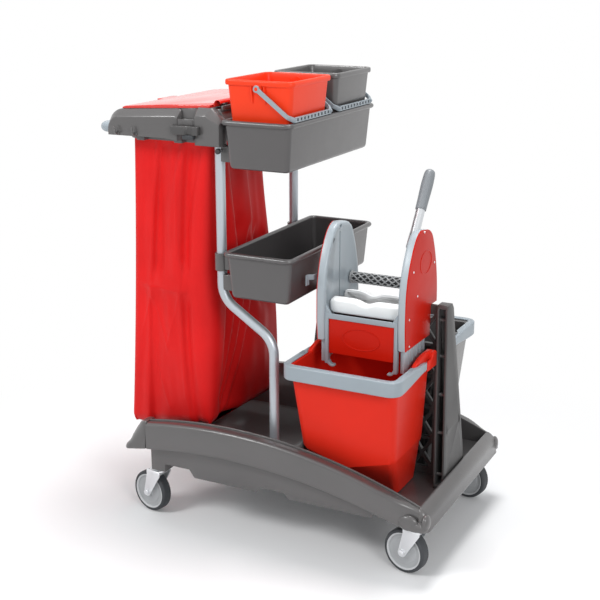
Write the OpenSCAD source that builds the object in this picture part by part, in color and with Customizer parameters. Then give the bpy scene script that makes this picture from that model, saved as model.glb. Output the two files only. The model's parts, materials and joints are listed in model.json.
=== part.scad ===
// Janitor cart: wheeled base, bag station with lid, two trays, two hand buckets,
// two mop buckets and a lever wringer. Millimetres, +Z up, +X to the mop end.

/* [Castors] */
// Distance between the swivel axes along the cart
wheelbase = 650; // [600:5:700]
// Distance between the swivel axes across the cart
track = 406; // [390:2:416]
// Wheel diameter over the tyre
wheel_d = 100; // [90:1:104]
// Width of the wheel
wheel_w = 28; // [22:1:34]
// Horizontal distance from swivel axis to axle
castor_trail = 22; // [16:1:28]
// Direction in which the castors stand at rest, degrees
castor_yaw = -11; // [-30:1:30]
// Axle diameter
axle_d = 8; // [6:0.5:12]
// King pin diameter
king_pin_d = 12; // [10:0.5:16]
// Thickness of the fork plate
fork_t = 3; // [2:0.5:5]
// Height of the castor from floor to mounting face
castor_h = 116; // [114:1:122]

/* [Base] */
// Half the width over the side rails
base_half_w = 250; // [246:1:262]
// Width of a side rail seen from above
rail_w = 25; // [20:1:30]
// Height of the crown of the arched rails
rail_top = 258; // [250:1:270]
// Radius of the top edge of the arch
rail_top_r = 1205; // [1100:5:1400]
// Height of the lower edge of the rails under the crown
rail_low = 193; // [185:1:200]
// Radius of the lower edge of the arch
rail_low_r = 1337; // [1250:5:1500]
// Top face of the deck floor
deck_z = 140; // [136:1:146]
// Wall thickness of the deck moulding
deck_t = 4; // [3:0.5:6]
// Reach of the bumper beyond the right castor axes
bumper_reach = 41; // [34:1:50]
// Reach of the corner caps beyond the left castor axes
cap_reach = 66; // [58:1:80]

/* [Frame posts] */
// Tube diameter
tube_d = 22; // [18:1:26]
// Tube wall
tube_t = 1.5; // [1:0.25:3]
// Distance of the post axes from the middle plane
post_y = 172.5; // [166:0.5:176]
// Position of the upper post section along the cart
post_upper_x = -158; // [-164:1:-152]
// Position of the lower post section along the cart
post_lower_x = -30; // [-40:1:-24]
// Height where the lower bend starts
bend_z = 440; // [400:5:460]

/* [Trays] */
// Tray size across its rim, along the cart
tray_w = 170; // [160:1:175]
// Tray size over its rim, across the cart
tray_l = 434; // [425:1:440]
// Tray depth
tray_depth = 104; // [96:1:110]
// Tray wall
tray_t = 3; // [2:0.5:5]
// Rim height of the lower tray
tray_lower_z = 661; // [655:1:680]
// Rim height of the upper tray
tray_upper_z = 944; // [925:1:955]

/* [Hand buckets] */
// Bucket size along the cart, over the rim
pail_w = 163; // [155:1:166]
// Bucket size across the cart, over the rim
pail_l = 190; // [180:1:192]
// Bucket height
pail_h = 184; // [172:1:196]
// Bucket wall
pail_t = 2.5; // [2:0.25:4]
// Reach of the bail from its pivot to the grip axis
bail_reach = 100; // [98:1:106]
// Angle of the bail below level at rest
bail_rest = 37; // [31:1:37]
// Pivot pin diameter of the bail
bail_pin_d = 8; // [6:0.5:10]

/* [Bag station] */
// Underside height of the holder arms
arm_z = 894; // [885:1:900]
// Height of the arms above their underside, at the push handle end
arm_h = 55; // [48:1:60]
// Thickness of a holder arm
arm_t = 30; // [28:1:34]
// Outer faces of the holder arms from the middle plane
arm_y = 206; // [202:1:210]
// Push handle tube diameter
push_d = 22; // [18:1:24]
// Axis of the push handle along the cart
push_x = -450; // [-460:1:-444]
// Width of the lid across the cart
lid_l = 380; // [370:2:392]
// Lid thickness
lid_t = 8; // [5:0.5:10]
// Hinge pin diameter of the lid
lid_pin_d = 6; // [4:0.5:8]
// Bag length below the holder ring
bag_h = 672; // [640:1:680]
// Bag width across the cart
bag_l = 320; // [300:2:326]
// Bag size along the cart
bag_w = 207; // [195:1:209]
// Thickness of the bag cloth with its folds
bag_t = 3; // [2:0.5:5]

/* [Mop station] */
// Middle of the mop station along the cart
station_x = 160; // [155:1:164]
// Mop bucket size along the cart, over the rim
mop_w = 256; // [246:1:258]
// Mop bucket back wall from the middle plane
mop_y0 = 29; // [28:0.5:34]
// Mop bucket front rim from the middle plane
mop_y1 = 243; // [236:1:246]
// Mop bucket rim height above the deck
mop_h = 298; // [280:1:310]
// Mop bucket wall
mop_t = 3.5; // [2.5:0.25:5]
// Thickness of the carrying handle over the rim
handle_t = 7; // [5:0.5:7.5]
// Height of the carrying handle at its front
handle_h = 29; // [24:1:34]
// Handle pivot from the middle plane
handle_y = 74; // [66:1:80]
// Handle pivot pin diameter
handle_pin_d = 9; // [7:0.5:12]
// Divider height above the deck
divider_h = 406; // [400:1:410]
// Divider columns: outer width at the foot
divider_w = 353; // [350:1:353]
// Thickness of the divider web
web_t = 11; // [8:0.5:12]

/* [Wringer] */
// Wringer width over the casings
wringer_w = 202; // [196:1:206]
// Middle of the wringer along the cart
wringer_x = 167; // [164:1:168]
// Thickness of a side casing
casing_t = 17; // [14:1:20]
// Thickness of the outer cover plates
cover_t = 2.5; // [2:0.5:4]
// Press shaft diameter
shaft_d = 31; // [26:1:34]
// Shaft journal diameter in the casings
journal_d = 16; // [12:1:20]
// Lever tube diameter
lever_d = 18; // [14:1:20]
// Lever grip diameter
grip_d = 25; // [22:1:27]
// Trunnion diameter of the moving jaw
trunnion_d = 10; // [8:0.5:12]
// Thickness of the jaws
jaw_t = 18; // [14:0.5:22]

/* [Hidden] */
$fn = 48;
fit = 0.05;
gap = 0.3;

// The part's origin lies under the middle of its outline
left_end = push_x - push_d / 2;
right_end = wheelbase / 2 + bumper_reach;
shift_x = -(left_end + right_end) / 2;

near = -1;
far = 1;
sides = [near, far];
ends = [-1, 1];

deck_x0 = -wheelbase / 2 - 5;
deck_x1 = wheelbase / 2 + 16;
skirt_y = base_half_w - rail_w;
skirt_z = castor_h + 2;
rail_crown_x = -120;
cap_seam_x = deck_x0 + 3;
cap_x = -wheelbase / 2 - cap_reach;
cap_w = 68;
cap_r = 14;
low_end_h = 30;
pad_size = 66;

socket_h = 75;
socket_d = tube_d + 12;
post_top = arm_z + 30;

tray_x0 = post_upper_x + tube_d / 2 + 13;
tray_x1 = tray_x0 + tray_w;
bead = 8;
tray_taper = 7;
tray_r = 17;
tray_y = tray_l / 2;
bracket_h = tray_depth - 28;

pail_x = (tray_x0 + tray_x1) / 2;
pail_y = tray_y - 14 - pail_l / 2;
pail_z = tray_upper_z - tray_depth + tray_t + gap;
pail_top = pail_z + pail_h;
pail_taper = 15;
bail_z = pail_top - 17;
bail_t = 4;
bail_bar = 10;

arm_x0 = push_x + 22;
arm_x1 = post_upper_x + 20;
arm_slope = 12 / 215;
arm_top = arm_z + arm_h;
block_x0 = arm_x1 - 44;
block_z = arm_z - 9;
notch_z = arm_z + 18;
arm_in = arm_y - arm_t;
push_y = arm_y - arm_t / 2;
push_z = arm_z + 14;
push_bend = arm_x0 - push_x;
push_leg = 60;
hinge_x = block_x0 + 21;
hinge_z = arm_top_at(hinge_x) + lid_t / 2 + 3;
lid_x0 = arm_x0 + 34;
lid_x1 = hinge_x - 10;
knuckle_d = lid_pin_d + 7;
knuckle_l = 40;
knuckle_y = 120;
ring_t = 10;
ring_z = arm_z - ring_t - gap;
bag_x1 = block_x0 - 2;
bag_x0 = bag_x1 - bag_w;
bag_top = ring_z + ring_t + bag_t;
bag_z0 = ring_z - bag_h;
bag_kick = 36;

mop_z = deck_z + 0.2;
mop_top = mop_z + mop_h;
handle_z = mop_top - 12;
handle_in = mop_w / 2 + gap;
handle_out = handle_in + handle_t;
handle_front = mop_y1 + 1;

column_t = 25;
column_lean = 23;
column_wall = 5;
web_bays = 5;
web_open = 0.72;
web_rail_low = 14;
web_rail_top = 18;
divider_z = deck_z;
divider_top = divider_z + divider_h;
web_top = divider_top - 5;
foot_y = 70;
head_y = 20;

casing_x = wringer_w / 2;
wringer_z = web_top + gap;
shaft_y = -17;
shaft_z = wringer_z + 44;
front_y = -154;
foot_drop = 50;
foot_inset = 4;
plate_y = front_y + 6;
casing_in = casing_x - casing_t;
jaw_gap_x = casing_in - gap;
jaw_rear_x = casing_in - 2;
jaw_pivot = [-66, wringer_z - 54];
jaw_lean = -13;
jaw_h = 80;
lever_gap = 8;
lever_x = casing_in - lever_gap - lever_d / 2;
crank_bend = [-37, shaft_z + 97];
lever_lean = 35;
lever_len = 174;
grip_len = 96;

castor_names = ["near_left", "near_right", "far_left", "far_right"];
castor_spots = [[-1, near], [1, near], [-1, far], [1, far]];

dark = "#696767";
pale = "#96a0a8";
steel = "#b4bcc2";
zinc = "#dcdee0";
red = "#d8281c";
orange_red = "#f43c28";
white = "#f0f0ee";
black = "#2a2b2d";

// Height of the top edge of the holder arms
function arm_top_at(x) = arm_top + (x - arm_x0) * arm_slope;

// Points of an arc
function arc(c, r, a0, a1, n) =
    [for (i = [0 : n]) c + r * [cos(a0 + (a1 - a0) * i / n), sin(a0 + (a1 - a0) * i / n)]];

// Outline of a rectangle with rounded corners, counter-clockwise
function round_rect(x0, x1, y0, y1, r, n = 5) = concat(
    arc([x1 - r, y1 - r], r, 0, 90, n),
    arc([x0 + r, y1 - r], r, 90, 180, n),
    arc([x0 + r, y0 + r], r, 180, 270, n),
    arc([x1 - r, y0 + r], r, 270, 360, n));

function lift(pts, z) = [for (p = pts) [p[0], p[1], z]];

// Solid through a stack of rings with equal point counts
module loft(rings) {
    n = len(rings[0]);
    m = len(rings);
    pts = [for (r = rings) each r];
    walls = [for (k = [0 : m - 2], i = [0 : n - 1])
        let (j = (i + 1) % n)
        let (a = k * n, b = a + n)
        each [[a + i, b + i, b + j], [a + i, b + j, a + j]]];
    floor_face = [for (i = [1 : n - 2]) [0, i, i + 1]];
    top_face = [for (i = [1 : n - 2]) [(m - 1) * n, (m - 1) * n + i + 1, (m - 1) * n + i]];
    polyhedron(pts, concat(walls, floor_face, top_face));
}

// Extrudes an outline drawn in X and Z along Y, from y0 to y1
module along_y(y0, y1) {
    translate([0, y1, 0]) rotate([90, 0, 0]) linear_extrude(y1 - y0) children();
}

// Extrudes an outline drawn in Y and Z along X, from x0 to x1
module along_x(x0, x1) {
    translate([x0, 0, 0]) rotate([90, 0, 90]) linear_extrude(x1 - x0) children();
}

module rod_y(x, z, d, y0, y1) {
    along_y(y0, y1) translate([x, z]) circle(d = d);
}

module rod_x(y, z, d, x0, x1) {
    along_x(x0, x1) translate([y, z]) circle(d = d);
}

module mirrored(s) {
    if (s > 0) mirror([0, 1, 0]) children();
    else children();
}

// Base

// Band between the two arcs of a rail, drawn in X and Z
module arch_band(grow, x0, x1, low) {
    intersection() {
        translate([rail_crown_x, rail_top + grow - rail_top_r]) circle(r = rail_top_r, $fn = 400);
        translate([x0, low]) square([x1 - x0, rail_top + 50 - low]);
    }
}

// Notch in the lower edge of a skirt, with sloped flanks
module skirt_notch(x0, x1, depth, slope) {
    z = skirt_z - 1;
    polygon([[x0 - slope, z], [x1 + slope, z], [x1, z + depth + 1], [x0, z + depth + 1]]);
}

module skirt_outline() {
    difference() {
        arch_band(3, deck_x0, deck_x1, skirt_z);
        skirt_notch(deck_x0 - 20, deck_x0 + pad_size + 36, deck_z - skirt_z - 1, 16);
        skirt_notch(-40, 22, 12, 9);
        skirt_notch(deck_x1 - pad_size - 36, deck_x1 + 20, 13, 9);
    }
}

module castor_pad(spot) {
    half = pad_size / 2;
    translate([spot[0] * wheelbase / 2 - half, spot[1] * track / 2 - half, castor_h])
        cube([pad_size, pad_size, deck_z - deck_t - castor_h + 1]);
}

// Raised floor panel under the bag
panel_rise = 2;
panel_outline = round_rect(deck_x0 + 20, post_lower_x - socket_d, 24 - skirt_y, skirt_y - 24, 18);

module deck() color(dark) difference() {
    union() {
        translate([deck_x0, -skirt_y, deck_z - deck_t]) cube([deck_x1 - deck_x0, 2 * skirt_y, deck_t]);
        for (s = sides) mirrored(s) along_y(-skirt_y, deck_t - skirt_y) skirt_outline();
        translate([deck_x0, -skirt_y, deck_z - deck_t]) cube([deck_t, 2 * skirt_y, low_end_h]);
        translate([deck_x1 - deck_t, -skirt_y, deck_z - deck_t]) cube([deck_t, 2 * skirt_y, low_end_h]);
        for (spot = castor_spots) intersection() {
            castor_pad(spot);
            translate([deck_x0, -skirt_y, 0]) cube([deck_x1 - deck_x0, 2 * skirt_y, deck_z]);
        }
        for (s = sides) translate([post_lower_x, s * post_y, deck_z - 1])
            cylinder(d = socket_d, h = socket_h + 1);
        translate([0, 0, deck_z - 1]) linear_extrude(panel_rise + 1) polygon(panel_outline);
    }
    for (s = sides) translate([post_lower_x, s * post_y, deck_z])
        cylinder(d = tube_d + 2 * fit, h = socket_h + 1);
}

module side_rail(s) color(dark) mirrored(s) along_y(-base_half_w, -skirt_y) difference() {
    arch_band(0, cap_seam_x + 1, deck_x1 - gap, skirt_z);
    translate([rail_crown_x, rail_low - rail_low_r]) circle(r = rail_low_r, $fn = 400);
}

// Ring of a corner cap, drawn in from its lip by the given inset
function cap_ring(inset) =
    round_rect(cap_x + inset, cap_seam_x, inset / 3 - base_half_w, cap_w - base_half_w, cap_r);

module corner_cap(s) color(dark) mirrored(s) {
    roof = rail_top - 10;
    lip = roof - 82;
    difference() {
        loft([lift(cap_ring(0), lip), lift(cap_ring(1), lip + 6), lift(cap_ring(8), lip + 18),
              lift(cap_ring(12), lip + 34), lift(cap_ring(20), roof - 24), lift(cap_ring(27), roof - 10),
              lift(cap_ring(33), roof)]);
        translate([deck_x0 - gap, -skirt_y - gap, lip - 1]) cube([80, 200, 200]);
    }
}

// Profile of the right end rail in X and Z: round shoulder and flared lower lip
end_w = right_end - deck_x1;
shoulder_r = end_w + 5;
shoulder_turn = acos((shoulder_r - end_w + 3) / shoulder_r);
function end_profile() = concat(
    [[0, castor_h], [end_w - 4, castor_h]],
    arc([end_w - 4, castor_h + 4], 4, -90, 20, 4),
    arc([end_w - 3 - shoulder_r, castor_h + 24], shoulder_r, 0, shoulder_turn, 8));

module end_rail() color(dark) {
    along_y(-skirt_y, skirt_y) translate([deck_x1, 0]) polygon(end_profile());
    for (s = sides) mirrored(s) translate([deck_x1, -skirt_y, 0]) intersection() {
        rotate_extrude() polygon(end_profile());
        translate([0, -rail_w, 0]) cube([60, rail_w, rail_top]);
    }
}

// Castors

flange_t = 4;
flange_d = 34;
crown_t = 8;
crown_r = 21;
axle_z = wheel_d / 2;
fork_in = wheel_w / 2 + 3;
fork_top = castor_h - flange_t - gap;
crown_z = fork_top - crown_t;
hub_r = 14;
tyre_r = 8;
rim_r = wheel_d / 2 - 15;

module castor_mounts() color(zinc) for (spot = castor_spots)
    translate([spot[0] * wheelbase / 2, spot[1] * track / 2, 0]) {
        translate([0, 0, castor_h - flange_t]) cylinder(d = flange_d, h = flange_t);
        translate([0, 0, crown_z - gap]) cylinder(d = king_pin_d, h = castor_h + gap - crown_z);
        translate([0, 0, crown_z - gap - 3]) cylinder(d = king_pin_d + 6, h = 3);
    }

module at_castor(i) translate([castor_spots[i][0] * wheelbase / 2, castor_spots[i][1] * track / 2, 0])
    rotate([0, 0, castor_yaw]) children();

module fork(i) color(zinc) at_castor(i) {
    r = crown_r;
    difference() {
        union() {
            translate([0, 0, crown_z]) cylinder(r = r, h = crown_t);
            for (s = sides) mirrored(s) along_y(-fork_in - fork_t, -fork_in) polygon(concat(
                [[r, fork_top], [-r, fork_top], [-r, crown_z - 6]],
                arc([-castor_trail, axle_z], 10, 180, 330, 10), [[r - 1, crown_z - 4]]));
            translate([-r, -fork_in - fork_t, crown_z]) cube([2 * r, 2 * (fork_in + fork_t), fork_t]);
        }
        translate([0, 0, crown_z - 1]) cylinder(d = king_pin_d + 2 * fit, h = crown_t + 2);
        translate([-castor_trail, 0, axle_z]) rotate([90, 0, 0])
            cylinder(d = axle_d + 2 * fit, h = 80, center = true);
    }
}

module axle(i) color(steel) at_castor(i) translate([-castor_trail, 0, axle_z]) rotate([90, 0, 0]) {
    cylinder(d = axle_d, h = 2 * (fork_in + fork_t), center = true);
    for (s = sides) translate([0, 0, s * (fork_in + fork_t + 2)])
        cylinder(d = axle_d + 5, h = 4, center = true);
}

// Wheel half-section: bonded tyre, rim ring, dished web and hub
module wheel(i) color(pale) at_castor(i) translate([-castor_trail, 0, axle_z]) rotate([90, 0, 0])
    rotate_extrude($fn = 72) {
        r = wheel_d / 2;
        w = wheel_w / 2;
        bore = axle_d / 2 + fit;
        polygon(concat(
            [[bore, -w - 2], [hub_r, -w - 2], [hub_r + 1, -w + 6]],
            [[rim_r - 2, -w + 5], [rim_r, -w + 1], [r - 9, -w]],
            arc([r - tyre_r, tyre_r - w], tyre_r, -90, 0, 5),
            arc([r - tyre_r, w - tyre_r], tyre_r, 0, 90, 5),
            [[r - 9, w], [rim_r, w - 1], [rim_r - 2, w - 5]],
            [[hub_r + 1, w - 6], [hub_r, w + 2], [bore, w + 2]]));
    }

// Frame posts

bend_r = (post_lower_x - post_upper_x) / 2;
bend_top = bend_z + 2 * bend_r;

module tube_section() difference() {
    circle(d = tube_d);
    circle(d = tube_d - 2 * tube_t);
}

module tube_bend() rotate([90, 0, 0]) rotate_extrude(angle = 90) translate([bend_r, 0]) tube_section();

// Bent tube from the deck socket up to the holder block
module post(s) color(steel) translate([post_lower_x, s * post_y, 0]) {
    translate([0, 0, deck_z]) linear_extrude(bend_z - deck_z) tube_section();
    translate([-bend_r, 0, bend_z]) tube_bend();
    translate([-bend_r, 0, bend_top]) rotate([0, 180, 0]) tube_bend();
    translate([-2 * bend_r, 0, bend_top]) linear_extrude(post_top - bend_top) tube_section();
}

// Trays

function tray_ring(inset, r = tray_r) =
    round_rect(tray_x0 + inset, tray_x1 - inset, inset - tray_y, tray_y - inset, r - inset / 2);

module tray(top) color(dark) {
    low = top - tray_depth;
    wall = bead - 1;
    difference() {
        loft([lift(tray_ring(wall + tray_taper + 4), low), lift(tray_ring(wall + tray_taper), low + 5),
              lift(tray_ring(wall), top - 12), lift(tray_ring(1), top - 11), lift(tray_ring(0), top - 6),
              lift(tray_ring(2), top - 1), lift(tray_ring(4), top)]);
        loft([lift(tray_ring(wall + tray_taper + tray_t + 1), low + tray_t),
              lift(tray_ring(wall + tray_t), top - 12), lift(tray_ring(wall + tray_t - 1), top + 1)]);
    }
}

// Sleeve on a post with a lug that bears on the sloping tray wall under the rim
module tray_brackets(top) color(dark) for (s = sides) translate([0, s * post_y, 0]) {
    z0 = top - 14 - bracket_h;
    z1 = min(top - 14, block_z - gap);
    slope = tray_taper / (tray_depth - 17);
    rim_x = tray_x0 + bead - 1 - gap;
    difference() {
        union() {
            translate([post_upper_x, 0, z0]) cylinder(d = tube_d + 9, h = z1 - z0);
            along_y(-9, 9) polygon([[post_upper_x, z0], [rim_x + (top - 12 - z0) * slope, z0],
                [rim_x + (top - 12 - z1) * slope, z1], [post_upper_x, z1]]);
        }
        translate([post_upper_x, 0, z0 - 1]) cylinder(d = tube_d + 2 * fit, h = z1 - z0 + 2);
    }
}

// Bag station

// Side outline of a holder arm in X and Z, with the block that sits on the post
module arm_outline() {
    r = 34;
    polygon(concat([[arm_x0, arm_z]], arc([arm_x0 + r, arm_top - r], r, 180, 90, 8),
        [[arm_x1 - 24, arm_top_at(arm_x1 - 24)], [arm_x1, arm_top - 14], [arm_x1, block_z],
         [block_x0, block_z], [block_x0, notch_z], [block_x0 - 50, notch_z], [block_x0 - 58, arm_z]]));
}

// Cross-section of an arm in Y and Z, with its sloped upper face
module arm_section() {
    bevel_y = 14 - arm_y;
    polygon([[-arm_y, block_z - 1], [-arm_in, block_z - 1], [-arm_in, arm_top + 40],
             [bevel_y, arm_top + 40], [bevel_y, arm_top - 2], [-arm_y, arm_top - 13]]);
}

// Peg hook on the outer face of an arm
module arm_hook(x) {
    translate([x, -arm_y - 9, arm_z + 4]) cube([8, 10, 5]);
    translate([x, -arm_y - 9, arm_z + 4]) cube([8, 4, 15]);
}

module holder_arm(s) color(dark) mirrored(s) difference() {
    union() {
        intersection() {
            along_y(-arm_y, -arm_in) arm_outline();
            along_x(arm_x0, arm_x1) arm_section();
        }
        for (dx = [20, 66]) arm_hook(arm_x0 + dx);
    }
    rod_x(-push_y, push_z, push_d + 2 * fit, arm_x0 - 1, arm_x0 + push_leg);
    translate([post_upper_x, -post_y, block_z - 1])
        cylinder(d = tube_d + 2 * fit, h = post_top - block_z + 1);
}

module holder_crossbar() color(dark) {
    ear = 8;
    ear_y = knuckle_l / 2 + ear / 2 + gap;
    low = bag_top + 4;
    high = hinge_z - 8;
    difference() {
        union() {
            along_y(gap - arm_in, arm_in - gap) polygon([[block_x0 + 4, low], [arm_x1, low],
                [arm_x1, arm_top - 14], [arm_x1 - 16, high], [block_x0 + 4, high]]);
            for (s = sides, e = ends)
                translate([hinge_x - 7, s * knuckle_y + e * ear_y - ear / 2, high - 1])
                    cube([14, ear, 16]);
        }
        for (s = sides) {
            rod_y(hinge_x, hinge_z, lid_pin_d + 2 * fit, s * knuckle_y - 40, s * knuckle_y + 40);
            rod_y(hinge_x, hinge_z, knuckle_d + 2, s * knuckle_y - knuckle_l / 2 - gap,
                s * knuckle_y + knuckle_l / 2 + gap);
            translate([post_upper_x, s * post_y, arm_z - 1])
                cylinder(d = tube_d + 2 * gap, h = post_top - arm_z + 1 + gap);
        }
    }
}

module push_handle() color(pale) {
    leg_x = arm_x0 + push_leg - 2;
    rod_y(push_x, push_z, push_d, push_bend - push_y, push_y - push_bend);
    for (s = sides) mirrored(s) {
        translate([push_x + push_bend, push_bend - push_y, push_z]) rotate([0, 0, 180])
            rotate_extrude(angle = 90) translate([push_bend, 0]) circle(d = push_d);
        rod_x(-push_y, push_z, push_d, push_x + push_bend, leg_x);
    }
}

// Spring clip for a mop handle, on the outer face of the near arm
module mop_clip() color(dark) {
    x0 = block_x0 - 46;
    x1 = block_x0 - 4;
    difference() {
        translate([x0, -arm_y - 16, arm_z + 19]) cube([x1 - x0, 16 - gap, 14]);
        translate([(x0 + x1) / 2, -arm_y - 18, arm_z + 18]) cylinder(d = 26, h = 16);
    }
}

module clip_pad() color(black)
    translate([block_x0 - 30, -arm_y - 4, arm_z + 10]) cube([16, 4 - gap, 9 - gap]);

function ring_outline(grow) = round_rect(bag_x0 - gap - grow, bag_x1 + gap + grow,
    -bag_l / 2 - gap - grow, bag_l / 2 + gap + grow, 20 + grow);

// Ring with four tabs that hang under the holder arms
module bag_ring() color(dark) translate([0, 0, ring_z]) difference() {
    union() {
        linear_extrude(ring_t) polygon(ring_outline(9));
        for (s = sides, x = [bag_x0 + 30, block_x0 - 82])
            mirrored(s) translate([x, -arm_in - 12, 0]) cube([20, arm_in + 7 - bag_l / 2, ring_t]);
    }
    translate([0, 0, -1]) linear_extrude(ring_t + 2) polygon(ring_outline(0));
}

// Ring of the bag at a height: t runs from 0 at the floor of the bag to 1 at the holder
function bag_ring_at(t, inset) = let (kick = bag_kick * (1 - t), y = bag_l / 2 - inset)
    round_rect(bag_x0 - kick + inset, bag_x1 - kick - inset, -y, y, 20 - inset / 2);

bag_bend = 0.45;
bag_bend_z = bag_z0 + bag_bend * bag_h;

module bag() color(red) difference() {
    union() {
        loft([lift(bag_ring_at(0, 12), bag_z0), lift(bag_ring_at(0, 2), bag_z0 + 12),
              lift(bag_ring_at(bag_bend, 1), bag_bend_z), lift(bag_ring_at(1, 0), ring_z - 2),
              lift(bag_ring_at(1, 0), bag_top)]);
        translate([0, 0, bag_top - bag_t]) linear_extrude(bag_t) polygon(ring_outline(5));
    }
    loft([lift(bag_ring_at(0, 14), bag_z0 + bag_t), lift(bag_ring_at(0, 2 + bag_t), bag_z0 + 14),
          lift(bag_ring_at(bag_bend, 1 + bag_t), bag_bend_z), lift(bag_ring_at(1, bag_t), ring_z - 2),
          lift(bag_ring_at(1, bag_t), bag_top + 1)]);
}

// Lid: crowned panel on the arms, lifting tab at the handle end, knuckles at the posts
module lid() color(red) {
    z0 = arm_top_at(lid_x0) + gap;
    z1 = arm_top_at(lid_x1) + gap;
    edge_t = lid_t - 2;
    half = knuckle_l / 2;
    difference() {
        union() {
            along_y(-lid_l / 2, lid_l / 2) polygon([[lid_x0, z0], [lid_x1, z1], [lid_x1, z1 + edge_t],
                [(lid_x0 + lid_x1) / 2, (z0 + z1) / 2 + lid_t], [lid_x0 + 8, z0 + edge_t],
                [lid_x0, z0 + 3]]);
            along_y(-34, 34) translate([lid_x0 - 12, z0 + 1]) square([20, 4]);
            for (s = sides) {
                rod_y(hinge_x, hinge_z, knuckle_d, s * knuckle_y - half, s * knuckle_y + half);
                along_y(s * knuckle_y - half, s * knuckle_y + half) polygon([[lid_x1 - 1, z1],
                    [hinge_x, hinge_z - 3], [hinge_x, hinge_z + 4], [lid_x1 - 1, z1 + edge_t]]);
            }
        }
        for (s = sides)
            rod_y(hinge_x, hinge_z, lid_pin_d + 2 * fit, s * knuckle_y - knuckle_l,
                s * knuckle_y + knuckle_l);
    }
}

module lid_pins() color(steel) for (s = sides) {
    half = knuckle_l / 2 + 9;
    rod_y(hinge_x, hinge_z, lid_pin_d, s * knuckle_y - half, s * knuckle_y + half);
}

// Mop station

// Half-depth of a divider column against its height
column_flank = [[foot_y, 0], [foot_y - 4, 30], [head_y + 6, divider_h - 70], [head_y, divider_h - 12],
                [head_y - 8, divider_h]];

// Tapered hollow column of the divider, leaning in towards its head
module divider_column(e) {
    x0 = divider_w / 2 - column_t;
    translate([station_x, 0, divider_z]) mirror([e > 0 ? 0 : 1, 0, 0]) difference() {
        intersection() {
            along_y(-foot_y, foot_y) polygon([[x0, 0], [x0 + column_t, 0],
                [x0 + column_t - column_lean, divider_h], [x0 - column_lean, divider_h]]);
            along_x(0, divider_w) polygon(concat(column_flank,
                [for (i = [len(column_flank) - 1 : -1 : 0]) [-column_flank[i][0], column_flank[i][1]]]));
        }
        for (s = sides) mirrored(s) along_y(-foot_y - 1, -column_wall) polygon([[x0 + column_wall, 8],
            [x0 + column_t - column_wall, 8], [x0 + column_t - column_wall - column_lean, divider_h - 8],
            [x0 + column_wall - column_lean, divider_h - 8]]);
    }
}

// Cross pins in the open channels of the columns
module column_pins(e) {
    for (s = sides, k = [0.06, 0.3, 0.52, 0.74, 0.95]) {
        y = s * (foot_y - 14 - (foot_y - head_y - 6) * min(k / 0.83, 1));
        x = divider_w / 2 - column_t - column_lean * k;
        translate([station_x, 0, divider_z]) mirror([e > 0 ? 0 : 1, 0, 0])
            rod_x(y, 6 + k * (divider_h - 20), 8, x, x + column_t);
    }
}

// Triangle drawn in towards its middle, which leaves the ribs of the lattice
module lattice_hole(p) {
    c = (p[0] + p[1] + p[2]) / 3;
    polygon([for (q = p) c + (q - c) * web_open]);
}

// Lattice web between the columns, drawn in X and Z
module web_outline() {
    half = divider_w / 2 - column_t - column_lean - 4;
    h = web_top - divider_z;
    bay = 2 * half / web_bays;
    row = (h - web_rail_low - web_rail_top) / web_bays;
    difference() {
        polygon([[-half - column_lean - 8, 0], [half + column_lean + 8, 0], [half + 8, h], [-half - 8, h]]);
        for (i = [0 : web_bays - 1], j = [0 : web_bays - 1]) {
            x = i * bay - half;
            z = web_rail_low + j * row;
            c = [x + bay / 2, z + row / 2];
            lattice_hole([[x, z], [x + bay, z], c]);
            lattice_hole([[x, z + row], c, [x + bay, z + row]]);
            lattice_hole([[x, z], c, [x, z + row]]);
            lattice_hole([[x + bay, z], [x + bay, z + row], c]);
        }
    }
}

module divider() color(dark) {
    for (e = ends) {
        divider_column(e);
        column_pins(e);
    }
    along_y(-web_t / 2, web_t / 2) translate([station_x, divider_z]) web_outline();
}

// Points on a corner of the mop bucket's rings
mop_n = 5;

// Ring of a mop bucket. The sag lowers the middle of the front edge
function mop_ring(half, front, z, r, sag) = let (y0 = -front, y1 = -mop_y0) [
    for (p = concat(round_rect(-half, half, y0, y1, r, mop_n), [[0, y0]]))
        [station_x + p[0], p[1], z - (p[1] < y0 + 1 ? sag * (1 - abs(p[0]) / half) : 0)]];

// The same ring with its front middle point in walking order
function mop_loop(half, front, z, r, sag = 0) =
    let (q = mop_ring(half, front, z, r, sag), m = mop_n + 1)
    concat([for (i = [0 : 3 * m - 1]) q[i]], [q[4 * m]], [for (i = [3 * m : 4 * m - 1]) q[i]]);

mop_half = mop_w / 2 - 6;
mop_foot_half = mop_half - 28;
mop_waist_half = mop_half - 12;

module mop_body(inset) {
    w = inset;
    waist = mop_z + 100;
    loft([mop_loop(mop_foot_half - w, mop_y1 - 107 - w, mop_z + w, 14 - w),
          mop_loop(mop_waist_half - w, mop_y1 - 46 - w, waist + w, 14 - w, 30),
          mop_loop(mop_half - w, mop_y1 - 10 - w, mop_top - handle_h, 16 - w),
          mop_loop(mop_half - w, mop_y1 - 10 - w, mop_top + (w > 0 ? 1 : 0), 16 - w)]);
}

module mop_bucket(s) color(s > 0 ? dark : red) mirrored(s) {
    rim = 9;
    difference() {
        union() {
            mop_body(0);
            translate([station_x, 0, mop_top - rim]) linear_extrude(rim)
                polygon(round_rect(-mop_w / 2, mop_w / 2, -mop_y1, -mop_y0, 20));
            for (e = ends)
                translate([station_x + (e > 0 ? mop_half - 1 : -mop_w / 2), -handle_y - 6, mop_top - 24])
                    cube([mop_w / 2 - mop_half + 1, handle_y - mop_y0 - 4, 36]);
        }
        intersection() {
            mop_body(mop_t);
            translate([0, -mop_y1, mop_z]) cube([600, mop_y1, mop_h + 2]);
        }
    }
    for (e = ends) rod_x(-handle_y, handle_z, handle_pin_d,
        station_x + (e > 0 ? mop_w / 2 - 1 : -handle_out),
        station_x + (e > 0 ? handle_out : 1 - mop_w / 2));
}

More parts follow.
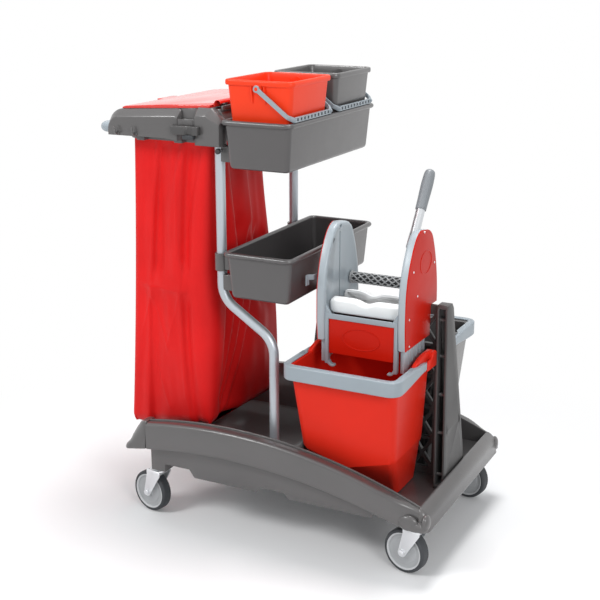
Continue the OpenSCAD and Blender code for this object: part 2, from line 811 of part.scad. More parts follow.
function handle_outline(grow) =
    round_rect(-handle_in - grow, handle_in + grow, -handle_front - grow, 60, 20 + grow);

module bucket_handle(s) color(pale) mirrored(s) {
    x1 = handle_out;
    difference() {
        intersection() {
            translate([station_x, 0, mop_top - handle_h]) linear_extrude(handle_h + 1) difference() {
                polygon(handle_outline(handle_t));
                polygon(handle_outline(0));
            }
            along_x(station_x - x1, station_x + x1) translate([0, mop_top]) polygon([
                [-mop_y1 - 20, -handle_h], [20 - mop_y1, -handle_h], [7 - handle_y, -20],
                [7 - handle_y, -3], [-handle_y - 30, 1], [-mop_y1 - 20, 1]]);
        }
        rod_x(-handle_y, handle_z, handle_pin_d + 2 * fit, station_x - x1 - 1, station_x + x1 + 1);
    }
}

// Wringer

// Side outline of a casing in Y and Z: a blunt arch over a shoulder that rests on the web
arch_front_r = 209;
arch_back_r = 327;
arch_back_y = 30;
nose_r = 48;
nose_front = [-70, wringer_z + 133];
nose_back = [-47, wringer_z + 128];
function casing_points() = let (z = wringer_z) concat(
    [[front_y + 4, z - 66], [front_y, z - 20]],
    arc([front_y + arch_front_r, z + 32], arch_front_r, 180, 141, 8),
    arc(nose_front, nose_r, 141, 95, 5),
    arc(nose_back, nose_r, 85, 26, 6),
    arc([arch_back_y - arch_back_r, z + 4], arch_back_r, 26, 0, 6),
    [[arch_back_y, z], [-web_t / 2 - gap, z], [-8, z - 68]]);

// Raised oval line, drawn round the origin with the given half-axes
module oval_line(a, b) {
    n = 40;
    difference() {
        polygon([for (i = [0 : n - 1]) [a * cos(360 * i / n), b * sin(360 * i / n)]]);
        polygon([for (i = [0 : n - 1]) [(a - 2) * cos(360 * i / n), (b - 2) * sin(360 * i / n)]]);
    }
}

// Side casing plate with its foot, drawn from x0 to x1
module casing(x0, x1) color(pale) translate([wringer_x, 0, 0]) difference() {
    union() {
        along_x(x0, x1) polygon(casing_points());
        along_x(x0 + foot_inset, x1 - foot_inset) translate([0, wringer_z - 68]) polygon([
            [front_y + 14, 0], [front_y + 14, -foot_drop], [front_y + 26, -foot_drop],
            [-20, -32], [-20, 2]]);
    }
    rod_x(shaft_y, shaft_z, journal_d + 2 * fit, x0 - 1, x1 + 1);
    rod_x(jaw_pivot[0], jaw_pivot[1], trunnion_d + 2 * fit, x0 - 1, x1 + 1);
    rod_x(nose_front[0], nose_front[1] + 33, 5, x0 - 1, x1 + 1);
}

// Outer cover of a casing with its raised oval
module cover(x0, x1) color(red) translate([wringer_x, 0, 0]) {
    rise = 0.8;
    along_x(x0, x1) polygon(casing_points());
    along_x(x0 > 0 ? x0 : x0 - rise, x0 > 0 ? x1 + rise : x1)
        translate([nose_back[0], wringer_z + 106]) oval_line(34, 26);
}

module cover_screws() color(zinc) translate([wringer_x, 0, 0]) {
    spots = [[-62, 174], [4, 94], [-118, 100], [-92, 42], [-136, 2], [-132, -58]];
    head = 1.2;
    x0 = casing_x + cover_t;
    for (e = ends, p = spots)
        rod_x(p[0], wringer_z + p[1], 5, e > 0 ? x0 : -x0 - head, e > 0 ? x0 + head : -x0);
}

// Front plate between the posts of the frame, with its raised oval
frame_w = 8;
plate_h = 78;
rail_drop = 16;
module front_plate() color(red) translate([wringer_x, 0, wringer_z - rail_drop - plate_h]) {
    half = casing_in - frame_w;
    along_y(plate_y, plate_y + 5) translate([-half, 0]) square([2 * half, plate_h]);
    along_y(plate_y - 1, plate_y + 1) translate([0, plate_h / 2]) oval_line(44, 24);
}

// Ties between the casings: front frame round the plate, on two legs, and rear foot bar
module wringer_crossbar() color(pale) translate([wringer_x, 0, wringer_z]) {
    foot_half = casing_in + foot_inset - gap;
    along_x(-casing_in, casing_in) translate([plate_y, 0])
        polygon([[-3, -rail_drop], [16, -rail_drop], [16, 6 - rail_drop], [-3, 12 - rail_drop]]);
    for (e = ends) along_y(plate_y - 3, plate_y + 9)
        translate([e > 0 ? casing_in - frame_w : -casing_in, -68 - foot_drop])
        square([frame_w, 60 + foot_drop]);
    along_x(-foot_half, foot_half) translate([-30, -92]) square([10, 20]);
}

module catch_hook() color(pale) translate([wringer_x - casing_x - cover_t, 0, 0]) {
    z = wringer_z + 66;
    translate([-10, -118, z]) cube([10, 34, 6]);
    translate([-10, -118, z - 14]) cube([4, 16, 14]);
}

// Jaw face drawn in X and Z with a hollow in its top edge
module jaw_outline(x0, x1, h) {
    difference() {
        polygon(concat([[x0, 0], [x1, 0]], arc([x1 - 10, h - 10], 10, 0, 90, 5),
            arc([x0 + 10, h - 10], 10, 90, 180, 5)));
        translate([(x0 + x1) / 2, h + 34]) circle(r = 42);
    }
}

module jaw_front() color(white) translate([wringer_x, -106, jaw_pivot[1] + 4]) rotate([7, 0, 0])
    along_y(-jaw_t / 2, jaw_t / 2) jaw_outline(-jaw_gap_x, jaw_gap_x, jaw_h - 4);

jaw_right = lever_x - lever_d / 2 - 4;

module jaw_rear() color(white) translate([wringer_x, jaw_pivot[0], jaw_pivot[1]]) {
    rotate([jaw_lean, 0, 0]) along_y(-jaw_t / 2, jaw_t / 2) jaw_outline(-jaw_rear_x, jaw_right, jaw_h);
    rod_x(0, 0, trunnion_d, -casing_x + 1, casing_x - 1);
}

// Press shaft with raised bands, carried by journals in the casings
module press_shaft() color(black) translate([wringer_x, shaft_y, shaft_z]) {
    x0 = casing_t + 1 - casing_x;
    x1 = lever_x - lever_d / 2 - 1;
    bands = 12;
    rod_x(0, 0, journal_d, -casing_x + 1, casing_x - 1);
    rod_x(0, 0, shaft_d - 6, x0, x1);
    for (i = [0 : bands - 1]) {
        x = x0 + (x1 - x0 - 5) * i / (bands - 1);
        rod_x(0, 0, shaft_d, x, x + 5);
    }
}

// Crank plate keyed on the shaft, with the socket for the lever tube
module lever_crank() color(steel) translate([wringer_x, 0, 0]) {
    w = lever_d / 2;
    x0 = lever_x - w;
    difference() {
        union() {
            rod_x(shaft_y, shaft_z, 34, x0, x0 + lever_d);
            along_x(lever_x - 4, lever_x + 4) polygon([[shaft_y - 15, shaft_z], [shaft_y + 15, shaft_z],
                [crank_bend[0] + 12, crank_bend[1]], [crank_bend[0] - 12, crank_bend[1]]]);
            at_lever() translate([0, 0, -12]) cylinder(d = lever_d + 4, h = 34);
        }
        rod_x(shaft_y, shaft_z, journal_d + 2 * fit, x0 - 1, x0 + lever_d + 1);
        at_lever() translate([0, 0, -1]) cylinder(d = lever_d + 2 * fit, h = 60);
    }
}

module at_lever() translate([lever_x, crank_bend[0], crank_bend[1]]) rotate([-lever_lean, 0, 0])
    children();

module lever_tube() color(zinc) translate([wringer_x, 0, 0]) at_lever()
    cylinder(d = lever_d, h = lever_len - 8);

module lever_grip() color(pale) translate([wringer_x, 0, 0]) at_lever()
    translate([0, 0, lever_len - grip_len]) rotate_extrude() {
        r = grip_d / 2;
        bore = lever_d / 2 + fit;
        polygon(concat([[bore, 0], [r, 0], [r - 1, grip_len * 0.4]],
            arc([r - 8, grip_len - 8], 8, 0, 90, 6),
            [[0, grip_len], [0, grip_len - 8 + gap], [bore, grip_len - 8 + gap]]));
    }

// Hand buckets

function pail_ring(inset) = let (w = pail_w / 2 - inset, l = pail_l / 2 - inset)
    round_rect(pail_x - w, pail_x + w, -l, l, 18 - inset / 3);

module hand_bucket(s) color(s > 0 ? dark : orange_red) translate([0, s * pail_y, 0]) {
    difference() {
        loft([lift(pail_ring(pail_taper + 8), pail_z), lift(pail_ring(pail_taper + 4), pail_z + 5),
              lift(pail_ring(5), pail_top - 12), lift(pail_ring(0.5), pail_top - 11),
              lift(pail_ring(0), pail_top - 4), lift(pail_ring(2), pail_top)]);
        loft([lift(pail_ring(pail_taper + 5 + pail_t), pail_z + pail_t),
              lift(pail_ring(5 + pail_t), pail_top - 12), lift(pail_ring(4 + pail_t), pail_top + 1)]);
    }
    for (e = sides) mirrored(e) rod_y(pail_x, bail_z, bail_pin_d, -pail_l / 2 - 6, 7 - pail_l / 2);
}

// Bail: two flat legs with eyes on the pivots, and a ribbed grip between them
module bail(s) color(pale) translate([pail_x, s * pail_y, bail_z]) rotate([0, bail_rest, 0]) {
    leg_in = pail_l / 2 + 1;
    difference() {
        for (e = sides) mirrored(e) along_y(-leg_in - bail_t, -leg_in) {
            circle(d = bail_pin_d + 8);
            translate([0, -bail_bar / 2]) square([bail_reach, bail_bar]);
            translate([bail_reach, 0]) circle(d = bail_bar);
        }
        rod_y(0, 0, bail_pin_d + 2 * fit, -pail_l, pail_l);
    }
    rod_y(bail_reach, 0, bail_bar, -leg_in, leg_in);
    for (k = [-8 : 8]) rod_y(bail_reach, 0, bail_bar + 1, k * 7 - 2, k * 7 + 2);
}

module place() translate([shift_x, 0, 0]) children();

place() deck();
place() side_rail(near);  // side_rail_near
place() side_rail(far);  // side_rail_far
place() corner_cap(near);  // corner_cap_near
place() corner_cap(far);  // corner_cap_far
place() end_rail();
place() castor_mounts();
for (i = [0 : 3]) {
    place() fork(i);
    place() axle(i);
    place() wheel(i);
}
place() post(near);  // post_near
place() post(far);  // post_far
place() tray(tray_lower_z);  // tray_lower
place() tray(tray_upper_z);  // tray_upper
place() tray_brackets(tray_lower_z);  // tray_brackets_lower
place() tray_brackets(tray_upper_z);  // tray_brackets_upper
place() holder_arm(near);  // holder_arm_near
place() holder_arm(far);  // holder_arm_far
place() holder_crossbar();
place() push_handle();
place() mop_clip();
place() clip_pad();
place() bag_ring();
place() bag();
place() lid();
place() lid_pins();
place() divider();
place() mop_bucket(near);  // mop_bucket_near
place() mop_bucket(far);  // mop_bucket_far
place() bucket_handle(near);  // bucket_handle_near
place() bucket_handle(far);  // bucket_handle_far
place() casing(-casing_x, casing_t - casing_x);  // casing_left
place() casing(casing_x - casing_t, casing_x);  // casing_right
place() cover(-casing_x - cover_t, -casing_x);  // cover_left
place() cover(casing_x, casing_x + cover_t);  // cover_right
place() front_plate();
place() wringer_crossbar();
place() catch_hook();
place() cover_screws();
place() jaw_front();
place() jaw_rear();
place() press_shaft();
place() lever_crank();
place() lever_tube();
place() lever_grip();
place() hand_bucket(near);  // hand_bucket_near
place() hand_bucket(far);  // hand_bucket_far
place() bail(near);  // bail_near
place() bail(far);  // bail_far
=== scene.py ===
# %% [markdown]
# # A janitor cart, dressed in Blender
# The imported solids are the fixed frame. They give every piece its place, its size and
# the body that it moves with. Here each of them gets the look of the real cart: soft moulded edges,
# textured grey plastic, glossy red buckets, a cloth bag with folds, rubber tyres and zinc plate.

# %% Load the frame
import json
import math

import bmesh
import bpy
from mathutils import Matrix, Vector, noise

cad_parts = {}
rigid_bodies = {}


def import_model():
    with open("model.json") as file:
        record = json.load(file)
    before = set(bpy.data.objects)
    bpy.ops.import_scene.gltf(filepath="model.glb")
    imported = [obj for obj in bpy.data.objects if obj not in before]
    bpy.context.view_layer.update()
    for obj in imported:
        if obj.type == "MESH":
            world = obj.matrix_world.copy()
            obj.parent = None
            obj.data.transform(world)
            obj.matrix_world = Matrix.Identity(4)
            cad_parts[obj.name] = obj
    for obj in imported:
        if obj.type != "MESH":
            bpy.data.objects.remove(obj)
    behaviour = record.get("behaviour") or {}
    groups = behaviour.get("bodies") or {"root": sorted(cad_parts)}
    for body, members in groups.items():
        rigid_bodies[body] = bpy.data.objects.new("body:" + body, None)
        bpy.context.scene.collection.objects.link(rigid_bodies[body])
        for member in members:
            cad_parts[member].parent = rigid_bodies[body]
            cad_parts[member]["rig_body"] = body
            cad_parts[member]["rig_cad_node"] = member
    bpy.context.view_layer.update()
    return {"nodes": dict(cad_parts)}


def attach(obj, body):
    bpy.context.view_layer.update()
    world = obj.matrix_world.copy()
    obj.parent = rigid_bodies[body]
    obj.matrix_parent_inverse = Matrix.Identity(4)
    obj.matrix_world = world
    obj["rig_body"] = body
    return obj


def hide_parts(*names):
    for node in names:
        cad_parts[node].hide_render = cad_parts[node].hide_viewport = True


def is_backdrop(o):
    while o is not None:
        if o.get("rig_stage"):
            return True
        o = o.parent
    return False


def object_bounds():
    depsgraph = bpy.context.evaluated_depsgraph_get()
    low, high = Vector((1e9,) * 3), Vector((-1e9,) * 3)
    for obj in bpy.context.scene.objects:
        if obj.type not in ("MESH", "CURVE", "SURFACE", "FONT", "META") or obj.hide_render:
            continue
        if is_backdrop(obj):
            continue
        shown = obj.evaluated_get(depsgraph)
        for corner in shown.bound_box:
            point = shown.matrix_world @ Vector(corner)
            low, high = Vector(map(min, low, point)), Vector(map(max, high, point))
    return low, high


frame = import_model()

# %% [markdown]
# Sizes below are in millimetres along the cart's own axes, as a maker would write them. The part's
# origin lies under the middle of its outline, which is a little way along X from the middle of the
# wheels, so one function turns a cart point into a Blender point in metres.

# %% Points and selection
MM = 0.001
SHIFT = 47.5
NEAR, FAR = -1, 1
SIDES = {"near": NEAR, "far": FAR}


def place(x, y, z):
    return Vector(((x + SHIFT) * MM, y * MM, z * MM))


def clear():
    if bpy.context.object and bpy.context.object.mode != "OBJECT":
        bpy.ops.object.mode_set(mode="OBJECT")
    bpy.ops.object.select_all(action="DESELECT")


def pick(obj):
    clear()
    obj.select_set(True)
    bpy.context.view_layer.objects.active = obj


def edit(obj):
    pick(obj)
    bpy.ops.object.mode_set(mode="EDIT")
    bpy.ops.mesh.select_mode(type="VERT")
    bpy.ops.mesh.select_all(action="SELECT")


clear()
print("origin of the cart's own axes:", tuple(round(v, 4) for v in place(0, 0, 0)))

# %% [markdown]
# ## Ways of making a piece
# Four kinds of piece cover most of the cart. A slab is a flat outline pulled out along an axis. A stack
# is a ring that is extruded upwards again and again and moved to a new outline each time, which is how a
# bucket is shaped by hand. A tube is a curve with a round section. A turned piece is a profile spun
# round an axle. Every one of them ends with its doubles merged and its faces turned outwards, and most
# get a bevel, because no moulded edge is sharp.

# %% Edges and shading
def finish_mesh(obj):
    edit(obj)
    bpy.ops.mesh.remove_doubles(threshold=1e-6)
    bpy.ops.mesh.normals_make_consistent(inside=False)
    bpy.ops.object.mode_set(mode="OBJECT")
    return obj


def modify(obj, kind, **values):
    pick(obj)
    bpy.ops.object.modifier_add(type=kind)
    modifier = obj.modifiers[-1]
    for key, value in values.items():
        setattr(modifier, key, value)
    bpy.ops.object.modifier_apply(modifier=modifier.name)
    return obj


def round_edges(obj, width, segments=2, angle=30):
    return modify(obj, "BEVEL", width=width * MM, segments=segments, limit_method="ANGLE",
                  angle_limit=math.radians(angle), use_clamp_overlap=False)


def smooth(obj, angle=35):
    pick(obj)
    bpy.ops.object.shade_smooth_by_angle(angle=math.radians(angle))
    return obj


# %% [markdown]
# Slabs, stacks and turned pieces start as a circle with as many points as the outline has. The points
# are moved to the outline, and the face is then extruded or its edge spun, as by hand in edit mode.

# %% Slabs, stacks and turned pieces
def ring_of(points):
    clear()
    bpy.ops.mesh.primitive_circle_add(vertices=len(points), fill_type="NGON")
    obj = bpy.context.object
    for vertex, point in zip(obj.data.vertices, points):
        vertex.co = point
    return obj


def slab(outline, axis, low, high):
    to_point = {"X": lambda a, b: place(low, a, b), "Y": lambda a, b: place(a, low, b),
                "Z": lambda a, b: place(a, b, low)}[axis]
    step = {"X": (1, 0, 0), "Y": (0, 1, 0), "Z": (0, 0, 1)}[axis]
    obj = ring_of([to_point(a, b) for a, b in outline])
    edit(obj)
    move = Vector(step) * (high - low) * MM
    bpy.ops.mesh.extrude_region_move(TRANSFORM_OT_translate={"value": move})
    return finish_mesh(obj)


def stack(rings):
    obj = ring_of([place(*p) for p in rings[0]])
    edit(obj)
    for last, ring in zip(rings, rings[1:]):
        bpy.ops.mesh.extrude_region_move(TRANSFORM_OT_translate={"value": (0, 0, 0)})
        mesh = bmesh.from_edit_mesh(obj.data)
        spots = {tuple(round(v, 5) for v in place(*p)): place(*q) for p, q in zip(last, ring)}
        for vertex in [v for v in mesh.verts if v.select]:
            vertex.co = spots[tuple(round(v, 5) for v in vertex.co)]
        bmesh.update_edit_mesh(obj.data)
    return finish_mesh(obj)


def side_slab(outline, centre, end, start, stop):
    """A slab along X between two distances from a centre, on its left (-1) or its right (1)."""
    low, high = sorted((centre + end * start, centre + end * stop))
    return slab(outline, "X", low, high)


def turned(profile, centre, axis, steps=64):
    axis = Vector(axis).normalized()
    side = Vector((0, 0, 1)) if abs(axis.z) < 0.9 else Vector((1, 0, 0))
    side = (side - axis * side.dot(axis)).normalized()
    obj = ring_of([centre + side * r * MM + axis * t * MM for r, t in profile])
    edit(obj)
    bpy.ops.mesh.delete(type="ONLY_FACE")
    bpy.ops.mesh.select_all(action="SELECT")
    bpy.ops.mesh.spin(steps=steps, angle=math.tau, center=centre, axis=axis)
    bpy.ops.mesh.select_all(action="SELECT")
    bpy.ops.mesh.remove_doubles(threshold=2e-6)
    return finish_mesh(obj)


# %% [markdown]
# Posts, pegs and thin lines follow a path. A curve with a bevel depth gives them a round section at
# once, which takes less work than extruding a circle round each corner. The corners of the path are
# rounded first, as on a pipe bender.

# %% Tubes and bends
def tube(points, diameter, sides=24):
    clear()
    bpy.ops.curve.primitive_nurbs_path_add()
    obj = bpy.context.object
    curve = obj.data
    curve.splines.clear()
    spline = curve.splines.new("POLY")
    spline.points.add(len(points) - 1)
    for spot, p in zip(spline.points, points):
        spot.co = (*place(*p), 1)
    curve.bevel_depth = diameter / 2 * MM
    curve.bevel_resolution = sides // 4
    curve.use_fill_caps = True
    pick(obj)
    bpy.ops.object.convert(target="MESH")
    return finish_mesh(bpy.context.object)


def bend(points, radius, steps=10):
    """The points of a path whose inner corners are rounded."""
    path = [Vector(points[0])]
    for a, b, c in zip(points, points[1:], points[2:]):
        a, b, c = Vector(a), Vector(b), Vector(c)
        u, w = (a - b).normalized(), (c - b).normalized()
        half = u.angle(w) / 2
        run = radius / math.tan(half)
        middle = b + (u + w).normalized() * radius / math.sin(half)
        first, last = b + u * run - middle, b + w * run - middle
        turn = first.angle(last)
        axle = first.cross(last).normalized()
        path += [middle + Matrix.Rotation(turn * i / steps, 3, axle) @ first for i in range(steps + 1)]
    return path + [Vector(points[-1])]


corner_path = bend([(0, 0, 0), (100, 0, 0), (100, 0, 100)], 30)
print("a path with one bent corner has", len(corner_path), "points")

# %% [markdown]
# Outlines are lists of points. Arcs and boxes with round corners cover most of them.

# %% Outlines
def arc(centre, radius, start, end, steps):
    turn = (end - start) / steps
    angles = [math.radians(start + turn * i) for i in range(steps + 1)]
    return [(centre[0] + radius * math.cos(a), centre[1] + radius * math.sin(a)) for a in angles]


def rounded(x0, x1, y0, y1, r, steps=8):
    return (arc((x1 - r, y1 - r), r, 0, 90, steps) + arc((x0 + r, y1 - r), r, 90, 180, steps)
            + arc((x0 + r, y0 + r), r, 180, 270, steps) + arc((x1 - r, y0 + r), r, 270, 360, steps))


def at_height(outline, z):
    return [(x, y, z) for x, y in outline]


print("a box with round corners has", len(rounded(0, 40, 0, 20, 5)), "points")

# %% [markdown]
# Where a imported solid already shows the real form, a copy of it is merged and its edges are rounded.
# The cart is alike on both sides, so many pieces are made for the near side and mirrored. Dressing gives
# a piece its name, its finish, the body that it rides on and the solids that it stands for.

# %% Copies and dressing
def cad_copy(node, width=0.8, segments=2, angle=30):
    """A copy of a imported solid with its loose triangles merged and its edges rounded."""
    pick(frame["nodes"][node])
    bpy.ops.object.duplicate()
    obj = bpy.context.object
    obj.parent = None
    obj.matrix_world = Matrix.Identity(4)
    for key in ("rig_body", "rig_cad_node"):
        del obj[key]
    edit(obj)
    bpy.ops.mesh.remove_doubles(threshold=1e-6)
    bpy.ops.mesh.dissolve_limited(angle_limit=math.radians(0.6))
    bpy.ops.object.mode_set(mode="OBJECT")
    if width:
        round_edges(obj, width, segments, angle)
    return smooth(obj)


def across(obj):
    """A mirrored copy on the other side of the cart, with its own mesh."""
    pick(obj)
    bpy.ops.object.duplicate()
    twin = bpy.context.object
    twin.data.transform(Matrix.Scale(-1, 4, (0, 1, 0)))
    edit(twin)
    bpy.ops.mesh.flip_normals()
    bpy.ops.object.mode_set(mode="OBJECT")
    return twin


def join(first, *others):
    clear()
    for obj in others:
        obj.select_set(True)
    first.select_set(True)
    bpy.context.view_layer.objects.active = first
    bpy.ops.object.join()
    return first


def dress(obj, name, material, body, slot, *nodes):
    obj.name = obj.data.name = name
    obj.data.materials.clear()
    obj.data.materials.append(material)
    obj.data.polygons.foreach_set("material_index", [0] * len(obj.data.polygons))
    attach(obj, body)
    if nodes:
        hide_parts(*nodes)
    print(name, "on", body, "with", len(obj.data.polygons), "faces")
    return obj


def dress_pair(obj, name, material, slot):
    """A near piece and its mirrored twin, which stand for the two solids of that name."""
    for side, piece in (("near", obj), ("far", across(obj))):
        node = f"{name}_{side}"
        dress(piece, node + "_skin", material, "cart", slot, node)


def from_cad(node, material, body, slot, width=0.8, segments=2):
    return dress(cad_copy(node, width, segments), node + "_skin", material, body, slot, node)


print("helpers ready")

# %% [markdown]
# ## Camera
# The photograph's parallel edges gave the camera: it stands about 2.5 m away, turned 27 degrees from
# the side of the cart, looking down 16 degrees, with a short telephoto lens.

# %% Camera
AZIMUTH, ELEVATION = 26.82, 16.41
CAMERA_SPOT = (1.1462, -2.2784, 1.2598)
FOCAL_PIXELS, FRAME_PIXELS, SENSOR = 1149, 600, 36
clear()
bpy.ops.object.camera_add(location=CAMERA_SPOT)
camera = bpy.context.object
camera.rotation_euler = (math.radians(90 - ELEVATION), 0, math.radians(AZIMUTH))
camera.data.sensor_width = SENSOR
camera.data.lens = FOCAL_PIXELS / FRAME_PIXELS * SENSOR
bpy.context.scene.camera = camera
bpy.context.scene.view_settings.view_transform = "Standard"
print("lens", round(camera.data.lens, 2), "mm")

# %% [markdown]
# ## Floor and light
# A studio shot: the cart stands on a white sweep and has a soft shadow under it. A bent backdrop could be
# modelled, but its bend might show, so the floor is one plane that turns to plain white with the distance
# from the cart.

# %% Floor and backdrop
def node_of(tree, kind, **settings):
    made = tree.nodes.new(kind)
    for key, value in settings.items():
        setattr(made, key, value)
    return made


def set_inputs(made, **values):
    for key, value in values.items():
        made.inputs[key.replace("_", " ")].default_value = value
    return made


FLOOR_SIZE, FLOOR_Z, FADE_FROM, FADE_TO = 14, -0.0005, 0.55, 1.15
clear()
bpy.ops.mesh.primitive_plane_add(size=FLOOR_SIZE, location=(0, 0, FLOOR_Z))
floor = bpy.context.object
floor.name = "studio_floor"
edit(floor)
bpy.ops.mesh.subdivide(number_cuts=3)
bpy.ops.object.mode_set(mode="OBJECT")
paper = bpy.data.materials.new("white_sweep")
paper.use_nodes = True
tree = paper.node_tree
tree.nodes.remove(tree.nodes["Principled BSDF"])
matt = set_inputs(node_of(tree, "ShaderNodeBsdfDiffuse"), Color=(0.93, 0.93, 0.935, 1))
glow = set_inputs(node_of(tree, "ShaderNodeEmission"), Color=(1, 1, 1, 1), Strength=1)
where = node_of(tree, "ShaderNodeTexCoord")
length = node_of(tree, "ShaderNodeVectorMath", operation="LENGTH")
fade = node_of(tree, "ShaderNodeMapRange", interpolation_type="SMOOTHSTEP")
set_inputs(fade, From_Min=FADE_FROM, From_Max=FADE_TO)
blend = node_of(tree, "ShaderNodeMixShader")
tree.links.new(where.outputs["Object"], length.inputs[0])
tree.links.new(length.outputs["Value"], fade.inputs["Value"])
tree.links.new(fade.outputs["Result"], blend.inputs["Fac"])
tree.links.new(matt.outputs[0], blend.inputs[1])
tree.links.new(glow.outputs[0], blend.inputs[2])
tree.links.new(blend.outputs[0], tree.nodes["Material Output"].inputs["Surface"])
floor.data.materials.append(paper)
floor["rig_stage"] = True
print("floor", floor.dimensions[:2])

# %% [markdown]
# The light is even, with soft boxes as in a studio: a key from the front left, a fill from the right and
# one above. The world gives the rest. Camera rays and glossy rays see it as plain white, so the background
# stays white without more light on the cart.

# %% World and lamps
SKY_STRENGTH = 0.52
world = bpy.data.worlds.new("studio")
bpy.context.scene.world = world
world.use_nodes = True
tree = world.node_tree
sky = tree.nodes["Background"]
set_inputs(sky, Color=(0.96, 0.98, 1, 1), Strength=SKY_STRENGTH)
white = set_inputs(node_of(tree, "ShaderNodeBackground"), Color=(1, 1, 1, 1), Strength=1)
rays = node_of(tree, "ShaderNodeLightPath")
either = node_of(tree, "ShaderNodeMath", operation="MAXIMUM")
blend = node_of(tree, "ShaderNodeMixShader")
tree.links.new(rays.outputs["Is Camera Ray"], either.inputs[0])
tree.links.new(rays.outputs["Is Glossy Ray"], either.inputs[1])
tree.links.new(either.outputs[0], blend.inputs["Fac"])
tree.links.new(sky.outputs[0], blend.inputs[1])
tree.links.new(white.outputs[0], blend.inputs[2])
tree.links.new(blend.outputs[0], tree.nodes["World Output"].inputs["Surface"])


def softbox(name, spot, target, size, watts):
    clear()
    bpy.ops.object.light_add(type="AREA", location=spot)
    lamp = bpy.context.object
    lamp.name = name
    lamp.data.shape = "DISK"
    lamp.data.size = size
    lamp.data.energy = watts
    lamp.rotation_euler = (Vector(target) - Vector(spot)).to_track_quat("-Z", "Y").to_euler()
    print(name, watts, "W")


softbox("key_light", (-1.5, -2.3, 2.6), (0, 0, 0.5), 1.0, 42)
softbox("fill_light", (2.4, -2.0, 1.7), (0, 0, 0.5), 1.2, 30)
softbox("top_light", (0.1, 0.3, 3.0), (0, 0, 0.4), 1.0, 50)

# %% [markdown]
# ## Finishes
# Most of the cart is injection moulded. Such plastic isn't one flat colour: it has a fine spark-eroded
# grain, a slight change of tone where the melt flowed, and a gloss that varies a little. One function
# mixes these from noise at three scales, and each finish gives it a colour, a gloss and a grain.

# %% Moulded plastics
FLOW_SCALE, GLOSS_SCALE, GLOSS_SPAN = 7, 34, 0.06
GRAIN_DEPTH, COAT_ROUGHNESS = 0.0004, 0.12


def noise_node(tree, scale, detail):
    where = node_of(tree, "ShaderNodeTexCoord")
    texture = set_inputs(node_of(tree, "ShaderNodeTexNoise"), Scale=scale, Detail=detail)
    tree.links.new(where.outputs["Object"], texture.inputs["Vector"])
    return texture


def tone_ramp(tree, source, colour, spread):
    ramp = node_of(tree, "ShaderNodeValToRGB")
    dark, light = ramp.color_ramp.elements
    dark.position, light.position = 0.3, 0.7
    dark.color = (*[c * (1 - spread) for c in colour], 1)
    light.color = (*[min(1, c * (1 + spread)) for c in colour], 1)
    tree.links.new(source, ramp.inputs["Fac"])
    return ramp


def moulding(name, colour, rough, grain=0.25, grain_scale=900, spread=0.06, coat=0.0, metallic=0.0,
             gloss_level=0.5):
    """A finish from its colour, roughness, strength and scale of grain, and spread of tone."""
    material = bpy.data.materials.new(name)
    material.use_nodes = True
    tree = material.node_tree
    shader = tree.nodes["Principled BSDF"]
    flow = noise_node(tree, FLOW_SCALE, 3)
    ramp = tone_ramp(tree, flow.outputs["Fac"], colour, spread)
    tree.links.new(ramp.outputs["Color"], shader.inputs["Base Color"])
    gloss = noise_node(tree, GLOSS_SCALE, 3)
    span = node_of(tree, "ShaderNodeMapRange")
    set_inputs(span, To_Min=rough - GLOSS_SPAN, To_Max=rough + GLOSS_SPAN)
    tree.links.new(gloss.outputs["Fac"], span.inputs["Value"])
    tree.links.new(span.outputs["Result"], shader.inputs["Roughness"])
    fine = noise_node(tree, grain_scale, 2)
    bump = set_inputs(node_of(tree, "ShaderNodeBump"), Strength=grain, Distance=GRAIN_DEPTH)
    tree.links.new(fine.outputs["Fac"], bump.inputs["Height"])
    tree.links.new(bump.outputs["Normal"], shader.inputs["Normal"])
    shader.inputs["Metallic"].default_value = metallic
    shader.inputs["Specular IOR Level"].default_value = gloss_level
    shader.inputs["Coat Weight"].default_value = coat
    shader.inputs["Coat Roughness"].default_value = COAT_ROUGHNESS
    print("finish", name)
    return material


dark_grey = moulding("grained_grey", (0.089, 0.085, 0.085), 0.36, 0.3, 1100, 0.05, 0.5)
tray_grey = moulding("tray_grey", (0.073, 0.069, 0.07), 0.36, 0.3, 1100, 0.05, 0.5)
pale_grey = moulding("satin_blue_grey", (0.29, 0.335, 0.37), 0.32, 0.2, 900, 0.05)
# The casings get a paler copy of the satin blue grey: painted light, which lifts the shade on their inner
# faces.
casing_grey_painted_light = moulding("casing_blue_grey_painted_light", (0.37, 0.42, 0.455), 0.32, 0.2, 900, 0.05)
bucket_red = moulding("bucket_red", (0.69, 0.024, 0.011), 0.38, 0.1, 500, 0.05, 0.04, gloss_level=0.1)
cover_red = moulding("cover_red", (0.53, 0.012, 0.004), 0.38, 0.1, 500, 0.05, 0.05, gloss_level=0.1)
bright_red = moulding("hand_bucket_red", (0.88, 0.05, 0.012), 0.36, 0.1, 500, 0.04, 0.04, gloss_level=0.2)
lid_red = moulding("lid_red", (0.68, 0.02, 0.012), 0.2, 0.06, 400, 0.04, 0.6)
jaw_white = moulding("jaw_white", (0.84, 0.85, 0.85), 0.45, 0.15, 700, 0.03)
grip_grey = moulding("grip_grey", (0.2, 0.215, 0.23), 0.4, 0.25, 900, 0.05)
deep_grey = moulding("deep_grey", (0.06, 0.058, 0.058), 0.42, 0.45, 320, 0.22)
wheel_grey = moulding("wheel_grey", (0.36, 0.37, 0.38), 0.42, 0.2, 900, 0.05)
rim_pale = moulding("wheel_rim_pale", (0.55, 0.56, 0.57), 0.35, 0.15, 900, 0.04)
tyre_rubber = moulding("tyre_rubber", (0.035, 0.038, 0.043), 0.62, 0.4, 700, 0.12)
roller_black = moulding("roller_black", (0.03, 0.031, 0.033), 0.5, 0.3, 800, 0.1)
roller_grey = moulding("roller_lattice_grey", (0.34, 0.345, 0.35), 0.32, 0.2, 800, 0.08)

